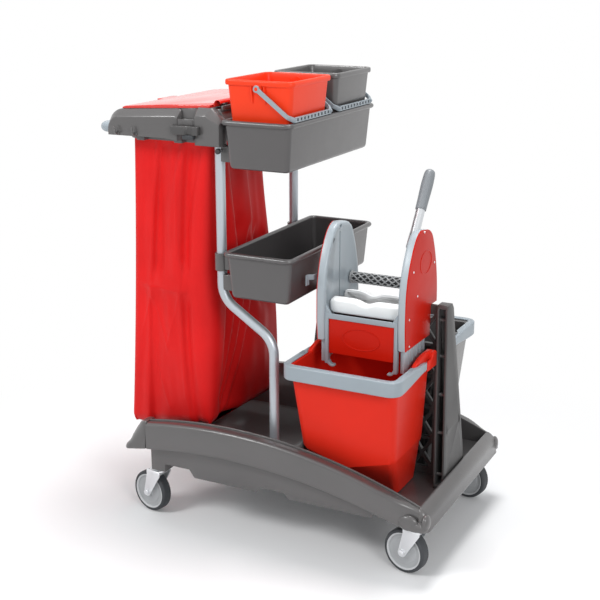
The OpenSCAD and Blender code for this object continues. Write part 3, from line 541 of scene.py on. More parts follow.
# %% [markdown]
# The posts are silver painted tube, and the castor forks and pins are zinc plated. The same function
# makes them with a very fine grain and a metallic share, which is lower for paint than for zinc.

# %% Metals
tube_silver = moulding("silver_tube", (0.47, 0.51, 0.55), 0.36, 0.12, 1400, 0.04, 0.15, 0.55)
zinc_plate = moulding("zinc_plate", (0.76, 0.77, 0.79), 0.3, 0.15, 1200, 0.06, 0.0, 0.85)
lever_steel = moulding("lever_steel", (0.62, 0.64, 0.66), 0.3, 0.1, 1200, 0.05, 0.0, 0.9)

# %% [markdown]
# The bag is coated nylon. A fine square weave shows under a soft sheen, so waves along the three axes
# give the threads and a low noise makes the cloth uneven.

# %% Bag cloth
WEAVE_SCALE, WEAVE_DEPTH = 260, 0.0003


def cloth(name, colour):
    material = bpy.data.materials.new(name)
    material.use_nodes = True
    tree = material.node_tree
    shader = tree.nodes["Principled BSDF"]
    where = node_of(tree, "ShaderNodeTexCoord")
    heights = []
    for direction in ("X", "Y", "Z"):
        wave = node_of(tree, "ShaderNodeTexWave", bands_direction=direction)
        set_inputs(wave, Scale=WEAVE_SCALE, Distortion=0.4, Detail=1)
        tree.links.new(where.outputs["Object"], wave.inputs["Vector"])
        heights.append(wave.outputs["Fac"])
    total = node_of(tree, "ShaderNodeMath", operation="ADD")
    tree.links.new(heights[0], total.inputs[0])
    tree.links.new(heights[1], total.inputs[1])
    weave = node_of(tree, "ShaderNodeMath", operation="MULTIPLY")
    tree.links.new(total.outputs[0], weave.inputs[0])
    tree.links.new(heights[2], weave.inputs[1])
    bump = set_inputs(node_of(tree, "ShaderNodeBump"), Strength=0.12, Distance=WEAVE_DEPTH)
    tree.links.new(weave.outputs[0], bump.inputs["Height"])
    tree.links.new(bump.outputs["Normal"], shader.inputs["Normal"])
    ramp = tone_ramp(tree, noise_node(tree, 9, 4).outputs["Fac"], colour, 0.07)
    tree.links.new(ramp.outputs["Color"], shader.inputs["Base Color"])
    shader.inputs["Roughness"].default_value = 0.5
    shader.inputs["Specular IOR Level"].default_value = 0.16
    shader.inputs["Sheen Weight"].default_value = 0.05
    shader.inputs["Sheen Roughness"].default_value = 0.4
    print("finish", name)
    return material


bag_red = cloth("coated_nylon", (0.7, 0.011, 0.011))

# %% [markdown]
# ## Base
# The solid of the deck already has the right form, so a copy of it gets rounded edges. The rails and
# caps round it are drawn from given sections, because their soft shoulders make the bright lines of the
# photograph.

# %% Deck
from_cad("deck", dark_grey, "cart", "dark_plastic", 1.2)

# %% [markdown]
# A side rail is an arched band whose outer shoulder is soft and catches a long bright line. A bevel on a
# copy of the solid would have one radius all along. So the rail is drawn as one section after another
# along the cart, and towards the right end the shoulder grows rounder, until it meets the end rail.

# %% Side rails
RAIL_TOP, RAIL_TOP_R, RAIL_LOW, RAIL_LOW_R, RAIL_CROWN_X = 258, 1205, 193, 1337, -120
RAIL_X0, RAIL_X1, RAIL_STEP = -326, 342, 12
RAIL_OUT, RAIL_IN, RAIL_FLOOR = -250, -225, 118
FLARE_FROM, FLARE_RUN, FLARE_IN = 285, 57, 15
SHOULDER, FLARE_SHOULDER = 9, 10


def blend_to(a, b, t):
    t = min(1, max(0, t))
    return a + (b - a) * t * t * (3 - 2 * t)


def on_arch(x, top, radius):
    return top - radius + math.sqrt(radius ** 2 - (x - RAIL_CROWN_X) ** 2)


def rail_section(x):
    high = on_arch(x, RAIL_TOP, RAIL_TOP_R)
    low = max(RAIL_FLOOR, on_arch(x, RAIL_LOW, RAIL_LOW_R))
    flare = (x - FLARE_FROM) / FLARE_RUN
    out = RAIL_OUT + blend_to(0, FLARE_IN, flare)
    shoulder = blend_to(SHOULDER, FLARE_SHOULDER, flare)
    section = (arc((RAIL_IN - 4, high - 4), 4, 0, 90, 4)
               + arc((out + shoulder, high - shoulder), shoulder, 90, 180, 8)
               + arc((out + 3, low + 3), 3, 180, 270, 3) + arc((RAIL_IN - 1, low + 1), 1, 270, 360, 2))
    return [(x, y, z) for y, z in section]


rail_steps = int((RAIL_X1 - RAIL_X0) / RAIL_STEP)
stations = [RAIL_X0 + RAIL_STEP * k for k in range(rail_steps + 1)] + [RAIL_X1]
rail = smooth(stack([rail_section(x) for x in stations]), 40)
dress_pair(rail, "side_rail", dark_grey, "dark_plastic")

# %% [markdown]
# The end rail has a flared lower lip and a round shoulder. Its section is carried along the right end
# and turned round both corners. A spin would keep the section as it is, but here it shrinks until it
# meets the side rails, so each ring of the stack is worked out.

# %% End rail
END_X, END_Y, END_LOW, END_SHRINK, END_TURN_STEPS = 341, 225, 116, 0.45, 12
END_SECTION = ([(-3, END_LOW + 1), (20, END_LOW)] + arc((20.2, END_LOW + 4.6), 4.6, -80, 35, 6)
               + arc((-8, END_LOW + 24), 30, 4, 74, 12) + [(-3, END_LOW + 52)])


def end_ring(turn, side):
    shrink = 1 - END_SHRINK * turn
    angle = side * turn * math.pi / 2
    return [(END_X + r * shrink * math.cos(angle), side * END_Y + r * shrink * math.sin(angle), z)
            for r, z in END_SECTION]


turns = [k / END_TURN_STEPS for k in range(END_TURN_STEPS + 1)]
end_rings = [end_ring(t, NEAR) for t in turns[::-1]] + [end_ring(t, FAR) for t in turns]
dress(smooth(stack(end_rings), 40), "end_rail_skin", dark_grey, "cart", "dark_plastic", "end_rail")

# %% [markdown]
# Under each right corner the rail ends in a fat lip with two lobes, one on the side and one on the end.
# Such a soft form has no outline to extrude, so a few stretched spheres are fused by a voxel remesh and
# smoothed.

# %% Corner lips
LOBES = [((321, -241.5, 136), (23, 9.5, 18)), ((336, -241, 128), (24, 10, 10)),
         ((350, -237, 128), (15, 12, 10)), ((357, -231, 139), (9.5, 16, 19)),
         ((346, -232, 130), (14, 14, 12))]
LIP_VOXEL, LIP_SMOOTHING = 0.0014, 7


def lobe(centre, radii):
    clear()
    bpy.ops.mesh.primitive_uv_sphere_add(segments=32, ring_count=16)
    ball = bpy.context.object
    stretch = Matrix.Diagonal((*[r * MM for r in radii], 1))
    ball.data.transform(Matrix.Translation(place(*centre)) @ stretch)
    return ball


near_lip = join(*[lobe(*spec) for spec in LOBES])
modify(near_lip, "REMESH", mode="VOXEL", voxel_size=LIP_VOXEL)
modify(near_lip, "SMOOTH", factor=0.5, iterations=LIP_SMOOTHING)
smooth(near_lip, 80)
far_lip = across(near_lip)
dress(near_lip, "corner_lip_near", dark_grey, "cart", "dark_plastic")
dress(far_lip, "corner_lip_far", dark_grey, "cart", "dark_plastic")

# %% [markdown]
# The corner caps at the bag end are quarter domes with a lip. Part of a sphere would be too round, so a
# ring with one large round corner is extruded upwards and drawn in step by step. Each step is an inset
# and a height.

# %% Corner caps
CAP_X0, CAP_X1, CAP_OUT, CAP_IN, CAP_LOW = -391, -329, -250, -182, 167
CAP_RISE, CAP_RISE_UP_TO = 11, 40
CAP_STEPS = [(0, CAP_LOW), (0, 171.5), (1.5, 176), (5, 180), (9, 184), (12, 190), (15, 198),
             (19, 207), (24, 217), (31, 227), (40, 236), (50, 241), (53, 241.6)]


def cap_ring(inset, z):
    """One level of the cap. Its lower edge rises towards the side rail."""
    x0, x1, y0, y1 = CAP_X0 + inset, CAP_X1, CAP_OUT + inset * 0.2, CAP_IN - inset * 0.5
    big = min(18 + inset * 0.5, x1 - x0 - 3)
    outline = (arc((x1 - 1, y1 - 1), 1, 0, 90, 2) + arc((x0 + 4, y1 - 4), 4, 90, 180, 4)
               + arc((x0 + big, y0 + big), big, 180, 270, 16) + arc((x1 - 1, y0 + 1), 1, 270, 360, 2))
    slope = CAP_RISE / (CAP_X1 - CAP_X0) * max(0, 1 - (z - CAP_LOW) / CAP_RISE_UP_TO)
    return [(x, y, z + slope * (x - CAP_X0)) for x, y in outline]


cap = smooth(stack([cap_ring(inset, z) for inset, z in CAP_STEPS]), 50)
dress_pair(cap, "corner_cap", dark_grey, "dark_plastic")

# %% [markdown]
# ## Castors
# A castor is a pressed fork, an axle bolt, a grey dished wheel centre with a paler ring, and a thin dark
# tyre with rounded shoulders. The wheel is round all over, so three profiles are spun about its axle.
# The fork, the bolt and the mounts are copies of their solids.

# %% Castors
CASTOR_X, CASTOR_Y = 325, 203
CASTORS = {f"{side}_{end}": (x, s * CASTOR_Y) for side, s in SIDES.items()
           for end, x in (("left", -CASTOR_X), ("right", CASTOR_X))}
CASTOR_YAW = math.radians(-11)
TRAIL, WHEEL_R = 22, 50
rolling_way = Vector((math.cos(CASTOR_YAW), math.sin(CASTOR_YAW), 0))
axle_way = Vector((-math.sin(CASTOR_YAW), math.cos(CASTOR_YAW), 0))
tyre_profile = ([(42.2, -11.5), (42.6, -13)] + arc((43.4, -7), 6.6, -80, 0, 8)
                + arc((43.4, 7), 6.6, 0, 80, 8) + [(42.6, 13), (42.2, 11.5)])
half_ring = [(38.6, 9), (39.2, 12), (40.2, 12.9), (41.8, 13), (42.6, 12.2)]
ring_profile = [(r, -t) for r, t in half_ring] + half_ring[::-1]
half_centre = [(4.05, 16), (9.5, 16), (11, 15), (12.5, 11.4), (15, 10.8), (28.5, 10), (30, 8.8),
               (36.5, 8.4), (38.8, 9.4)]
centre_profile = [(r, -t) for r, t in half_centre] + half_centre[::-1]
for name, (x, y) in CASTORS.items():
    hub = place(x, y, WHEEL_R) - rolling_way * TRAIL * MM
    tyre = smooth(turned(tyre_profile, hub, axle_way, 72), 40)
    rim = smooth(turned(ring_profile, hub, axle_way, 72), 40)
    centre = smooth(turned(centre_profile, hub, axle_way, 64), 30)
    body = "wheel_" + name
    dress(tyre, "tyre_" + name, tyre_rubber, body, "rubber")
    dress(rim, "wheel_ring_" + name, rim_pale, body, "wheel_plastic")
    dress(centre, "wheel_centre_" + name, wheel_grey, body, "wheel_plastic", "wheel_" + name)
    from_cad("fork_" + name, zinc_plate, "castor_" + name, "zinc_steel", 0.9)
    from_cad("axle_" + name, zinc_plate, "castor_" + name, "zinc_steel", 0.6)
from_cad("castor_mounts", zinc_plate, "cart", "zinc_steel", 0.6)

# %% [markdown]
# ## Posts and trays
# Each post is one tube, bent twice on a slope between the deck socket and the bag station. Its path lies
# in one plane, so four points and one bending radius describe it.

# %% Posts
POST_X, POST_Y, TUBE_D, POST_BEND = -158, 172.5, 22, 62
POST_ROUTE = [(-30, 140), (-30, 462), (POST_X, 546), (POST_X, 924)]
for side, s in SIDES.items():
    route = bend([(x, s * POST_Y, z) for x, z in POST_ROUTE], POST_BEND, 14)
    post = smooth(tube(route, TUBE_D, 32))
    dress(post, f"post_{side}_tube", tube_silver, "cart", "tube_steel", "post_" + side)

# %% [markdown]
# The trays are deep boxes with sloping walls and a rolled rim. A block with a cavity cut into it would
# leave every edge to be rounded later. One stack that runs up the outside, over the rim and down the
# inside to the floor has its rounds from the start.

# %% Trays
TRAY_X0, TRAY_X1, TRAY_Y, TRAY_DEPTH = -134, 36, 217, 104
TRAY_TOPS = {"lower": 661, "upper": 944}
ROLL_R = 5.6


def tray_ring(inset, z, corner=17):
    r = corner - inset / 2
    return at_height(rounded(TRAY_X0 + inset, TRAY_X1 - inset, inset - TRAY_Y, TRAY_Y - inset, r), z)


def tray(top):
    low = top - TRAY_DEPTH
    outside = [(24, 0), (20, 0.7), (17, 2.6), (15.2, 5.6), (14.4, 9), (7.4, TRAY_DEPTH - 11.6)]
    turns = [math.radians(a) for a in range(0, 271, 18)]
    roll = [(ROLL_R - ROLL_R * math.sin(a), -ROLL_R - ROLL_R * math.cos(a)) for a in turns]
    rim = [(inset, TRAY_DEPTH + z) for inset, z in roll]
    inside = [(10.4, TRAY_DEPTH - 11), (17.4, 12), (19.4, 6.5), (23, 3.6), (29, 3)]
    return smooth(stack([tray_ring(inset, low + z) for inset, z in outside + rim + inside]), 40)


for level, top in TRAY_TOPS.items():
    dress(tray(top), f"tray_{level}_skin", tray_grey, "cart", "dark_plastic", "tray_" + level)

# %% [markdown]
# The lower tray hangs on a sleeve round each post with a lug below it. The upper tray has a lug only,
# on the side of the post that faces the tray. Lugs are slabs with soft edges, and sleeves are turned
# round the post.

# %% Tray brackets
LUG_HALF, LUG_REACH = 9, -121.5
LUG_SPANS = {"lower": [(566, 601), (612, 646)], "upper": [(850, 884)]}
SLEEVE_SPAN = (609, 648)


def bracket_lug(s, low, high):
    outline = [(POST_X + 7, low), (LUG_REACH, low), (LUG_REACH - 4.5, high), (POST_X + 7, high)]
    y = s * POST_Y
    return round_edges(slab(outline, "Y", y - LUG_HALF, y + LUG_HALF), 1.6, 3)


def bracket_sleeve(s, low, high):
    profile = [(11.1, low), (14.6, low), (15.4, low + 1), (15.4, high - 1), (14.6, high), (11.1, high)]
    return turned(profile, place(POST_X, s * POST_Y, 0), (0, 0, 1), 40)


for level, spans in LUG_SPANS.items():
    brackets = [bracket_lug(s, *span) for span in spans for s in SIDES.values()]
    if level == "lower":
        brackets += [bracket_sleeve(s, *SLEEVE_SPAN) for s in SIDES.values()]
    node = "tray_brackets_" + level
    dress(smooth(join(*brackets)), node + "_skin", dark_grey, "cart", "dark_plastic", node)

# %% [markdown]
# ## Hand buckets
# Two small buckets stand in the upper tray. Their walls taper, the rim is a rolled band, and ribs under
# the rim carry the pivots of the bail. They are stacks like the trays, with turned pivots.

# %% Hand buckets
PAIL_X, PAIL_Y, PAIL_W, PAIL_L = -49, 108, 163, 190
PAIL_Z, PAIL_H = 843.3, 184
PIVOT_Z = PAIL_Z + PAIL_H - 17


def pail_ring(s, inset, z):
    w, l = PAIL_W / 2 - inset, PAIL_L / 2 - inset
    y = s * PAIL_Y
    return at_height(rounded(PAIL_X - w, PAIL_X + w, y - l, y + l, 15 - inset / 3), PAIL_Z + z)


def pail(s):
    top = PAIL_H
    outside = [(27, 0), (22.5, 0.8), (20, 3.4), (18.8, 8), (5.2, top - 12.4)]
    rim = [(4.8, top - 12), (1.2, top - 11.4), (0.3, top - 10), (0, top - 7), (0.2, top - 3),
           (1, top - 0.9), (2.4, top), (4.4, top), (6, top - 0.8), (6.8, top - 3), (7.6, top - 12)]
    inside = [(21.6, 10), (23.5, 4.6), (27, 2.7), (31, 2.5)]
    return smooth(stack([pail_ring(s, inset, z) for inset, z in outside + rim + inside]), 40)


def pivot_ribs(s, end):
    y = s * PAIL_Y + end * PAIL_L / 2
    profile = [(0, -end * 9), (9.5, -end * 9), (9.5, -end * 1), (8.4, end * 0.4), (3.9, end * 0.4),
               (3.9, end * 5), (3, end * 6), (0, end * 6)]
    pieces = [turned(profile, place(PAIL_X, y, PIVOT_Z), (0, 1, 0), 32)]
    for dx in (-15, 15):
        rib = [(y - end * 0.6, PIVOT_Z + 5), (y - end * 0.6, PIVOT_Z - 6), (y - end * 6, PIVOT_Z - 30),
               (y - end * 9, PIVOT_Z - 30), (y - end * 9, PIVOT_Z + 5)]
        pieces.append(slab(rib, "X", PAIL_X + dx - 1.5, PAIL_X + dx + 1.5))
    return pieces


print("the bails turn", round(PIVOT_Z, 1), "mm above the floor")

# %% [markdown]
# A bail is two straps and a grip, and it lies against the outside of its bucket. The straps are drawn
# flat at the origin and turned about the pivots as one. The grip at their end is a ladder of ribs
# between two rails over a black core, which is painted shade: it darkens the gaps between the ribs.

# %% Bails
BAIL_REACH, BAIL_REST = 100, math.radians(37)
BAIL_IN, STRAP_T, STRAP_HALF, EYE_R = PAIL_L / 2 + 1, 4, 4.6, 7.5
GRIP_BEND, RAIL_UP, RIB_STEP, RIB_HALF = 14, 4.2, 16, 4.2


def bail_pieces(s):
    """The straps and the grip of a bail as one piece, and the black core of the grip, which paints the
    shade in its gaps.
    """
    grip_half = BAIL_IN + STRAP_T / 2 - GRIP_BEND
    pale = []
    for end in (-1, 1):
        y = end * (BAIL_IN + STRAP_T / 2)
        eye = arc((0, 0), EYE_R, 42, 318, 14)
        leg_end = BAIL_REACH - GRIP_BEND
        leg = eye + [(leg_end, -STRAP_HALF), (leg_end, STRAP_HALF)]
        pale.append(round_edges(slab(leg, "Y", y - STRAP_T / 2, y + STRAP_T / 2), 1, 3))
        corner = [(leg_end - 1, y - end * 2), (leg_end - 1, y + end * 2), (leg_end + 4, y + end * 1.4),
                  (BAIL_REACH + 4, y - end * (GRIP_BEND - 3)), (BAIL_REACH + 5, y - end * GRIP_BEND),
                  (BAIL_REACH - 5, y - end * GRIP_BEND), (leg_end + 2, y - end * 4)]
        pale.append(round_edges(slab(corner, "Z", -4.4, 4.4), 1, 3))
    turn = (Matrix.Translation(place(PAIL_X, s * PAIL_Y, PIVOT_Z))
            @ Matrix.Rotation(BAIL_REST, 4, "Y") @ Matrix.Translation(-place(0, 0, 0)))
    bail = join(*pale)
    bail.data.transform(turn)
    x = PAIL_X + BAIL_REACH * math.cos(BAIL_REST)
    z = PIVOT_Z - BAIL_REACH * math.sin(BAIL_REST)
    low, high = s * PAIL_Y - grip_half, s * PAIL_Y + grip_half
    ladder = []
    for up in (-RAIL_UP, RAIL_UP):
        bar = rounded(x - 2.8, x + 2.8, z + up - 1.2, z + up + 1.2, 1, 3)
        ladder.append(slab(bar, "Y", low, high))
    count = int(grip_half / RIB_STEP)
    for k in range(-count, count + 1):
        y = s * PAIL_Y + k * RIB_STEP
        rib = rounded(x - 2.6, x + 2.6, z - 4, z + 4, 0.6, 2)
        ladder.append(slab(rib, "Y", y - RIB_HALF, y + RIB_HALF))
    # The core is black so that it paints shade in the gaps between the ribs.
    painted_shade_core = slab(rounded(x - 1, x + 1, z - 4, z + 4, 0.5, 2), "Y", low, high)
    return smooth(join(bail, *ladder)), painted_shade_core


PAIL_FINISH = {"near": (bright_red, "bright_red_plastic"), "far": (dark_grey, "dark_plastic")}
for side, s in SIDES.items():
    finish, slot_name = PAIL_FINISH[side]
    node = "hand_bucket_" + side
    bucket = join(pail(s), *pivot_ribs(s, -1), *pivot_ribs(s, 1))
    dress(smooth(bucket, 40), node + "_skin", finish, node, slot_name, node)
    bail, painted_shade_core = bail_pieces(s)
    dress(bail, f"bail_{side}_skin", pale_grey, "bail_" + side, "pale_plastic", "bail_" + side)
    # The black core of the grip is painted shade for the gaps between the ribs.
    dress(painted_shade_core, f"bail_{side}_core", roller_black, "bail_" + side, "black_plastic")

# %% [markdown]
# ## Bag station
# A holder arm is a moulding in three parts: a long wing with a wide bevel along its top, a notch, and a
# block that sits on the post. The bevel runs along the top and dies out below, which the bevel tool can't
# do. So the wing and the block are outlines that are extruded towards the outer face and drawn in there.
# Two peg hooks stand on the wing.

# %% Holder arms
ARM_X0, ARM_Z, ARM_TOP, ARM_SLOPE, ARM_R = -428, 894, 949, 12 / 215, 34
ARM_IN, ARM_OUT = -176, -206
WING_X1, BLOCK_X0, BLOCK_X1, BLOCK_Z = -240, -203, -138, 885
ARM_BEVEL = [(ARM_IN, 0), (-190, 0), (-192, 0.7), (-193.5, 2), (-204.6, 14.4), (-205.7, 16.2),
             (ARM_OUT, 18)]
NOTCH_OUT, PEG_X = -189, (-406, -360)


def arm_top(x):
    return ARM_TOP + (x - ARM_X0) * ARM_SLOPE


def wing_ring(y, inset):
    x0, r = ARM_X0 + inset * 0.3, ARM_R - inset * 0.4
    corner = arc((x0 + r, ARM_TOP - r), r, 180, 90, 10)
    nose = [(x, z + arm_top(x) - ARM_TOP - inset) for x, z in corner]
    x1 = WING_X1 - inset * 0.25
    outline = [(x0, ARM_Z)] + nose + [(x1 - 8, arm_top(x1) - inset), (x1, arm_top(x1) - inset - 3),
                                      (x1 - 1, ARM_Z - 3), (x1 - 34, ARM_Z + 1)]
    return [(x, y, z) for x, z in outline]


def block_ring(y, inset):
    x0, x1 = BLOCK_X0 + inset * 0.2, BLOCK_X1 - inset * 0.15
    top = arm_top(BLOCK_X1 - 24) - inset
    outline = [(x0, BLOCK_Z), (x0, top - 5), (x0 + 5, top), (x1 - 26 - inset * 0.4, top),
               (x1, top - 26 + inset * 0.5), (x1, BLOCK_Z)]
    return [(x, y, z) for x, z in outline]


def peg_hook(x):
    stem = bend([(x + 9, ARM_OUT + 2, ARM_Z + 5), (x + 7, ARM_OUT - 8, ARM_Z + 5),
                 (x + 4, ARM_OUT - 8, ARM_Z + 21)], 4, 6)
    foot = place(x + 9, ARM_OUT, ARM_Z + 5)
    boss = turned([(0, 0), (5, 0), (4.4, -2), (0, -2.4)], foot, (0, 1, 0), 24)
    return [tube(stem, 4.6, 16), boss]


wing = round_edges(stack([wing_ring(y, inset) for y, inset in ARM_BEVEL]), 0.8, 2, 40)
block = round_edges(stack([block_ring(y, inset) for y, inset in ARM_BEVEL]), 0.8, 2, 25)
bridge = [(WING_X1 - 12, ARM_Z + 18), (BLOCK_X0 + 8, ARM_Z + 18), (BLOCK_X0 + 8, arm_top(BLOCK_X0)),
          (WING_X1 - 12, arm_top(WING_X1 - 12))]
notch = round_edges(slab(bridge, "Y", NOTCH_OUT, ARM_IN), 1)
gusset = [(WING_X1 - 3, -190), (BLOCK_X0 + 3, -190), (BLOCK_X0 + 3, -204), (BLOCK_X0 - 8, -196),
          (WING_X1 + 8, -196), (WING_X1 - 3, -204)]
ledge = round_edges(slab(gusset, "Z", ARM_Z + 20, ARM_Z + 44), 1)
pegs = [piece for x in PEG_X for piece in peg_hook(x)]
arm = smooth(join(wing, block, notch, ledge, *pegs), 35)
dress_pair(arm, "holder_arm", dark_grey, "dark_plastic")

# %% [markdown]
# The push bar closes the frame on the left, and the bag ring lies between the arms. Their solids have the
# right form, so they are copies. The clip for a mop handle is a bar with a hollowed seat in front of the
# notch, over a rubber pad. Both are slabs with rounded edges.

# %% Push bar, clip and bag ring
from_cad("push_handle", pale_grey, "cart", "pale_plastic", 0)
clip_bar = [(-254, ARM_OUT), (-186, ARM_OUT), (-186, -217), (-198, -219), (-201, -214), (-214, -212),
            (-219, -219), (-248, -219), (-254, -216)]
clip = round_edges(slab(clip_bar, "Z", ARM_Z + 13, ARM_Z + 31), 1.2, 3)
dress(smooth(clip), "mop_clip_skin", deep_grey, "cart", "dark_plastic", "mop_clip")
pad_face = rounded(-226, -198, ARM_Z + 3, ARM_Z + 13, 2, 3)
clip_pad = round_edges(slab(pad_face, "Y", -216, ARM_OUT), 1)
dress(smooth(clip_pad), "clip_pad_skin", tyre_rubber, "cart", "rubber", "clip_pad")
from_cad("bag_ring", dark_grey, "cart", "dark_plastic", 1.2)

# %% [markdown]
# The crossbar carries the hinge of the lid. The end of the lid rolls over the pins as a strip, which
# hides the hinge. Each ear stands on its back half only, which leaves the strip room to turn down
# between the pins and the crossbar when the lid stands open. A lip on the crossbar closes the view under
# the strip.

# %% Crossbar and lid
PIN_X, PIN_Z, BAR_LOW, BAR_TOP, BAR_HALF = -161, 970.9, 900.7, 960.5, 175.7
EAR_R, EAR_HALF, EAR_Y = 6.5, 4, (-144.3, -95.7, 95.7, 144.3)
STRIP_R_IN, STRIP_R_OUT, STRIP_END, STRIP_HALF = 7.2, 8.6, 10, 174
bar = [(-178, BAR_LOW), (-138, BAR_LOW), (-138, 935), (-154, BAR_TOP), (-178, BAR_TOP)]
bar_lip = [(-151, BAR_TOP - 2), (-146, BAR_TOP - 2), (-146.5, PIN_Z - 3), (-151, PIN_Z - 3)]
crossbar = [round_edges(slab(bar, "Y", -BAR_HALF, BAR_HALF), 1),
            round_edges(slab(bar_lip, "Y", -BAR_HALF, BAR_HALF), 0.8)]
ear = (arc((PIN_X, PIN_Z), EAR_R, -90, 180, 18)
       + [(PIN_X - EAR_R, BAR_TOP - 1), (PIN_X - 1, BAR_TOP - 1), (PIN_X - 1, PIN_Z - EAR_R)])
for y in EAR_Y:
    crossbar.append(round_edges(slab(ear, "Y", y - EAR_HALF, y + EAR_HALF), 0.6))
dress(smooth(join(*crossbar)), "holder_crossbar_skin", dark_grey, "cart", "dark_plastic",
      "holder_crossbar")
from_cad("lid", lid_red, "lid", "red_plastic", 1.2, 3)
from_cad("lid_pins", zinc_plate, "cart", "zinc_steel", 0.5)
strip_section = (arc((PIN_X, PIN_Z), STRIP_R_OUT, STRIP_END, 165, 16)
                 + [(-173, 969.3), (-173, 964.2), (-169, 964.2)]
                 + arc((PIN_X, PIN_Z), STRIP_R_IN, 200, STRIP_END, 18))
strip = round_edges(slab(strip_section, "Y", -STRIP_HALF, STRIP_HALF), 0.4)
dress(smooth(strip), "lid_hinge_strip", lid_red, "lid", "red_plastic")

# %% [markdown]
# A thumb screw on each upper bracket clamps the tray to its post: a black knob on a bright collar. Both
# are turned, the knob in few steps, which leaves flats for the fingers.

# %% Thumb screws
SCREW_X, SCREW_Y, SCREW_Z = -150, 189, 874
SCREW_COLLAR = [(0, -6), (4, -6), (4, 3), (0, 3)]
SCREW_KNOB = [(0, 2), (5.4, 2), (6.2, 3), (6.2, 7.4), (5, 9), (0, 9.4)]
for side, s in SIDES.items():
    seat = place(SCREW_X, s * SCREW_Y, SCREW_Z)
    stud = turned(SCREW_COLLAR, seat, (0, s, 0), 32)
    knob = round_edges(turned(SCREW_KNOB, seat, (0, s, 0), 12), 0.6)
    dress(smooth(stud), f"thumb_screw_{side}_collar", zinc_plate, "cart", "zinc_steel")
    dress(smooth(knob), f"thumb_screw_{side}_knob", roller_black, "cart", "black_plastic")

# %% [markdown]
# The bag hangs from its ring, so the cloth is tight at the top, falls in long upright folds and leans
# towards the push bar. Simulated cloth would fold in its own way and not as in the photograph, so the bag
# is a stack. Each level is one ring of points through four corners, and the corners follow the height.

# %% Outline of the bag
BAG_TOP, BAG_LOW = 896.7, 211.7
BAG_LEFT, BAG_RIGHT, BAG_HALF, BAG_LEAN = -390, -185, 158.5, 37


def bag_corners(t):
    """Near left, near right, far right and far left corner at a height from 0, low, to 1, high."""
    drop = 1 - t
    gather = blend_to(1, 0, (t - 0.9) / 0.1)
    slack = gather * (blend_to(0, 36, (drop - 0.05) / 0.7) - 40)
    left = BAG_LEFT - BAG_LEAN * drop
    return [(left, -BAG_HALF), (BAG_RIGHT - 20 * drop, -BAG_HALF),
            (BAG_RIGHT + slack, BAG_HALF - 20 * gather + 18 * drop),
            (left, BAG_HALF - 14 * gather + 4 * drop)]


def corner_radius(k, t):
    """The ring holds the corners tight. Below it they open out, most of all the near right one."""
    return 8 + (40 if k == 1 else 10) * math.sin(math.pi * (1 - t)) ** 0.8


def bag_floor(x):
    """Height of the bag's underside, which hangs lower towards the push bar."""
    return BAG_LOW + blend_to(-14, 12, (x - BAG_LEFT + BAG_LEAN) / 220)


print("the bag hangs", round(BAG_TOP - BAG_LOW, 1), "mm and leans", BAG_LEAN, "mm")

# %% [markdown]
# What pushes the points of a level in is a handful of folds, small tucks at the ring, the creases of a
# bag that was packed flat, and soft wrinkles from a fixed noise. A fold gives its place along the side at
# the ring and at the foot, its depth, how far it spreads to either side, and the heights between which it
# shows. A crease gives two points and its height. Places and heights are shares of the side, depths are
# millimetres.

# %% Folds and creases
FOLDS = {"near": [(0.34, 0.22, 14, 0.03, 0.16, 0.48, 1.1), (0.72, 0.95, 12, 0.04, 0.14, 0.5, 1.02),
                  (0.27, 0.25, 10, 0.03, 0.2, -0.1, 0.49), (0.82, 0.84, 10, 0.03, 0.12, -0.1, 0.49)],
         "right": [(0.2, 0.05, 14, 0.03, 0.1, 0.0, 1.1), (0.6, 0.1, 13, 0.03, 0.1, -0.1, 0.72),
                   (0.9, 0.16, 13, 0.03, 0.1, -0.1, 0.68), (1.15, 0.25, 12, 0.03, 0.12, -0.1, 0.66),
                   (0.35, 0.5, 12, 0.05, 0.12, 0.4, 1.1), (0.7, 0.8, 10, 0.05, 0.12, 0.3, 1.1)],
         "far": [(0.3, 0.34, 10, 0.03, 0.15, 0.2, 1.1), (0.62, 0.68, 11, 0.03, 0.15, -0.1, 0.8)],
         "left": [(0.2, 0.15, 10, 0.03, 0.15, 0.1, 1.1), (0.5, 0.56, 12, 0.04, 0.16, -0.1, 0.9),
                  (0.78, 0.72, 11, 0.03, 0.14, 0.3, 1.1)]}
CREASES = [((0.0, 0.5), (0.86, 0.475), 6), ((0.27, 0.62), (0.24, 0.03), 4),
           ((0.78, 0.56), (0.76, 0.1), 3), ((0.26, 0.46), (0.0, 0.28), 3),
           ((0.26, 0.46), (0.52, 0.28), 3), ((0.76, 0.46), (0.52, 0.28), 2.5),
           ((0.25, 0.3), (0.5, 0.06), 3), ((0.6, 0.9), (0.72, 0.6), 3)]
CREASE_SHARE = {"near": 1, "right": 0.35, "far": 0.35, "left": 0.35}
CREASE_WIDTH, FOLD_FADE, TUCK_DEPTH, BELLY = 0.045, 0.09, 7, 3
SIDE_SEED = {"near": 3.1, "right": 11.7, "far": 23.9, "left": 37.3}


def crease_depth(u, t, start, end, depth):
    """A sharp ridge along a line, where the cloth was once folded, with a flat facet on each side."""
    p, a, b = Vector((u, t)), Vector(start), Vector(end)
    part = min(1, max(0, (p - a).dot(b - a) / (b - a).length_squared))
    away = p - a - (b - a) * part
    away.y *= 3
    return -depth * math.exp(-away.length / CREASE_WIDTH)


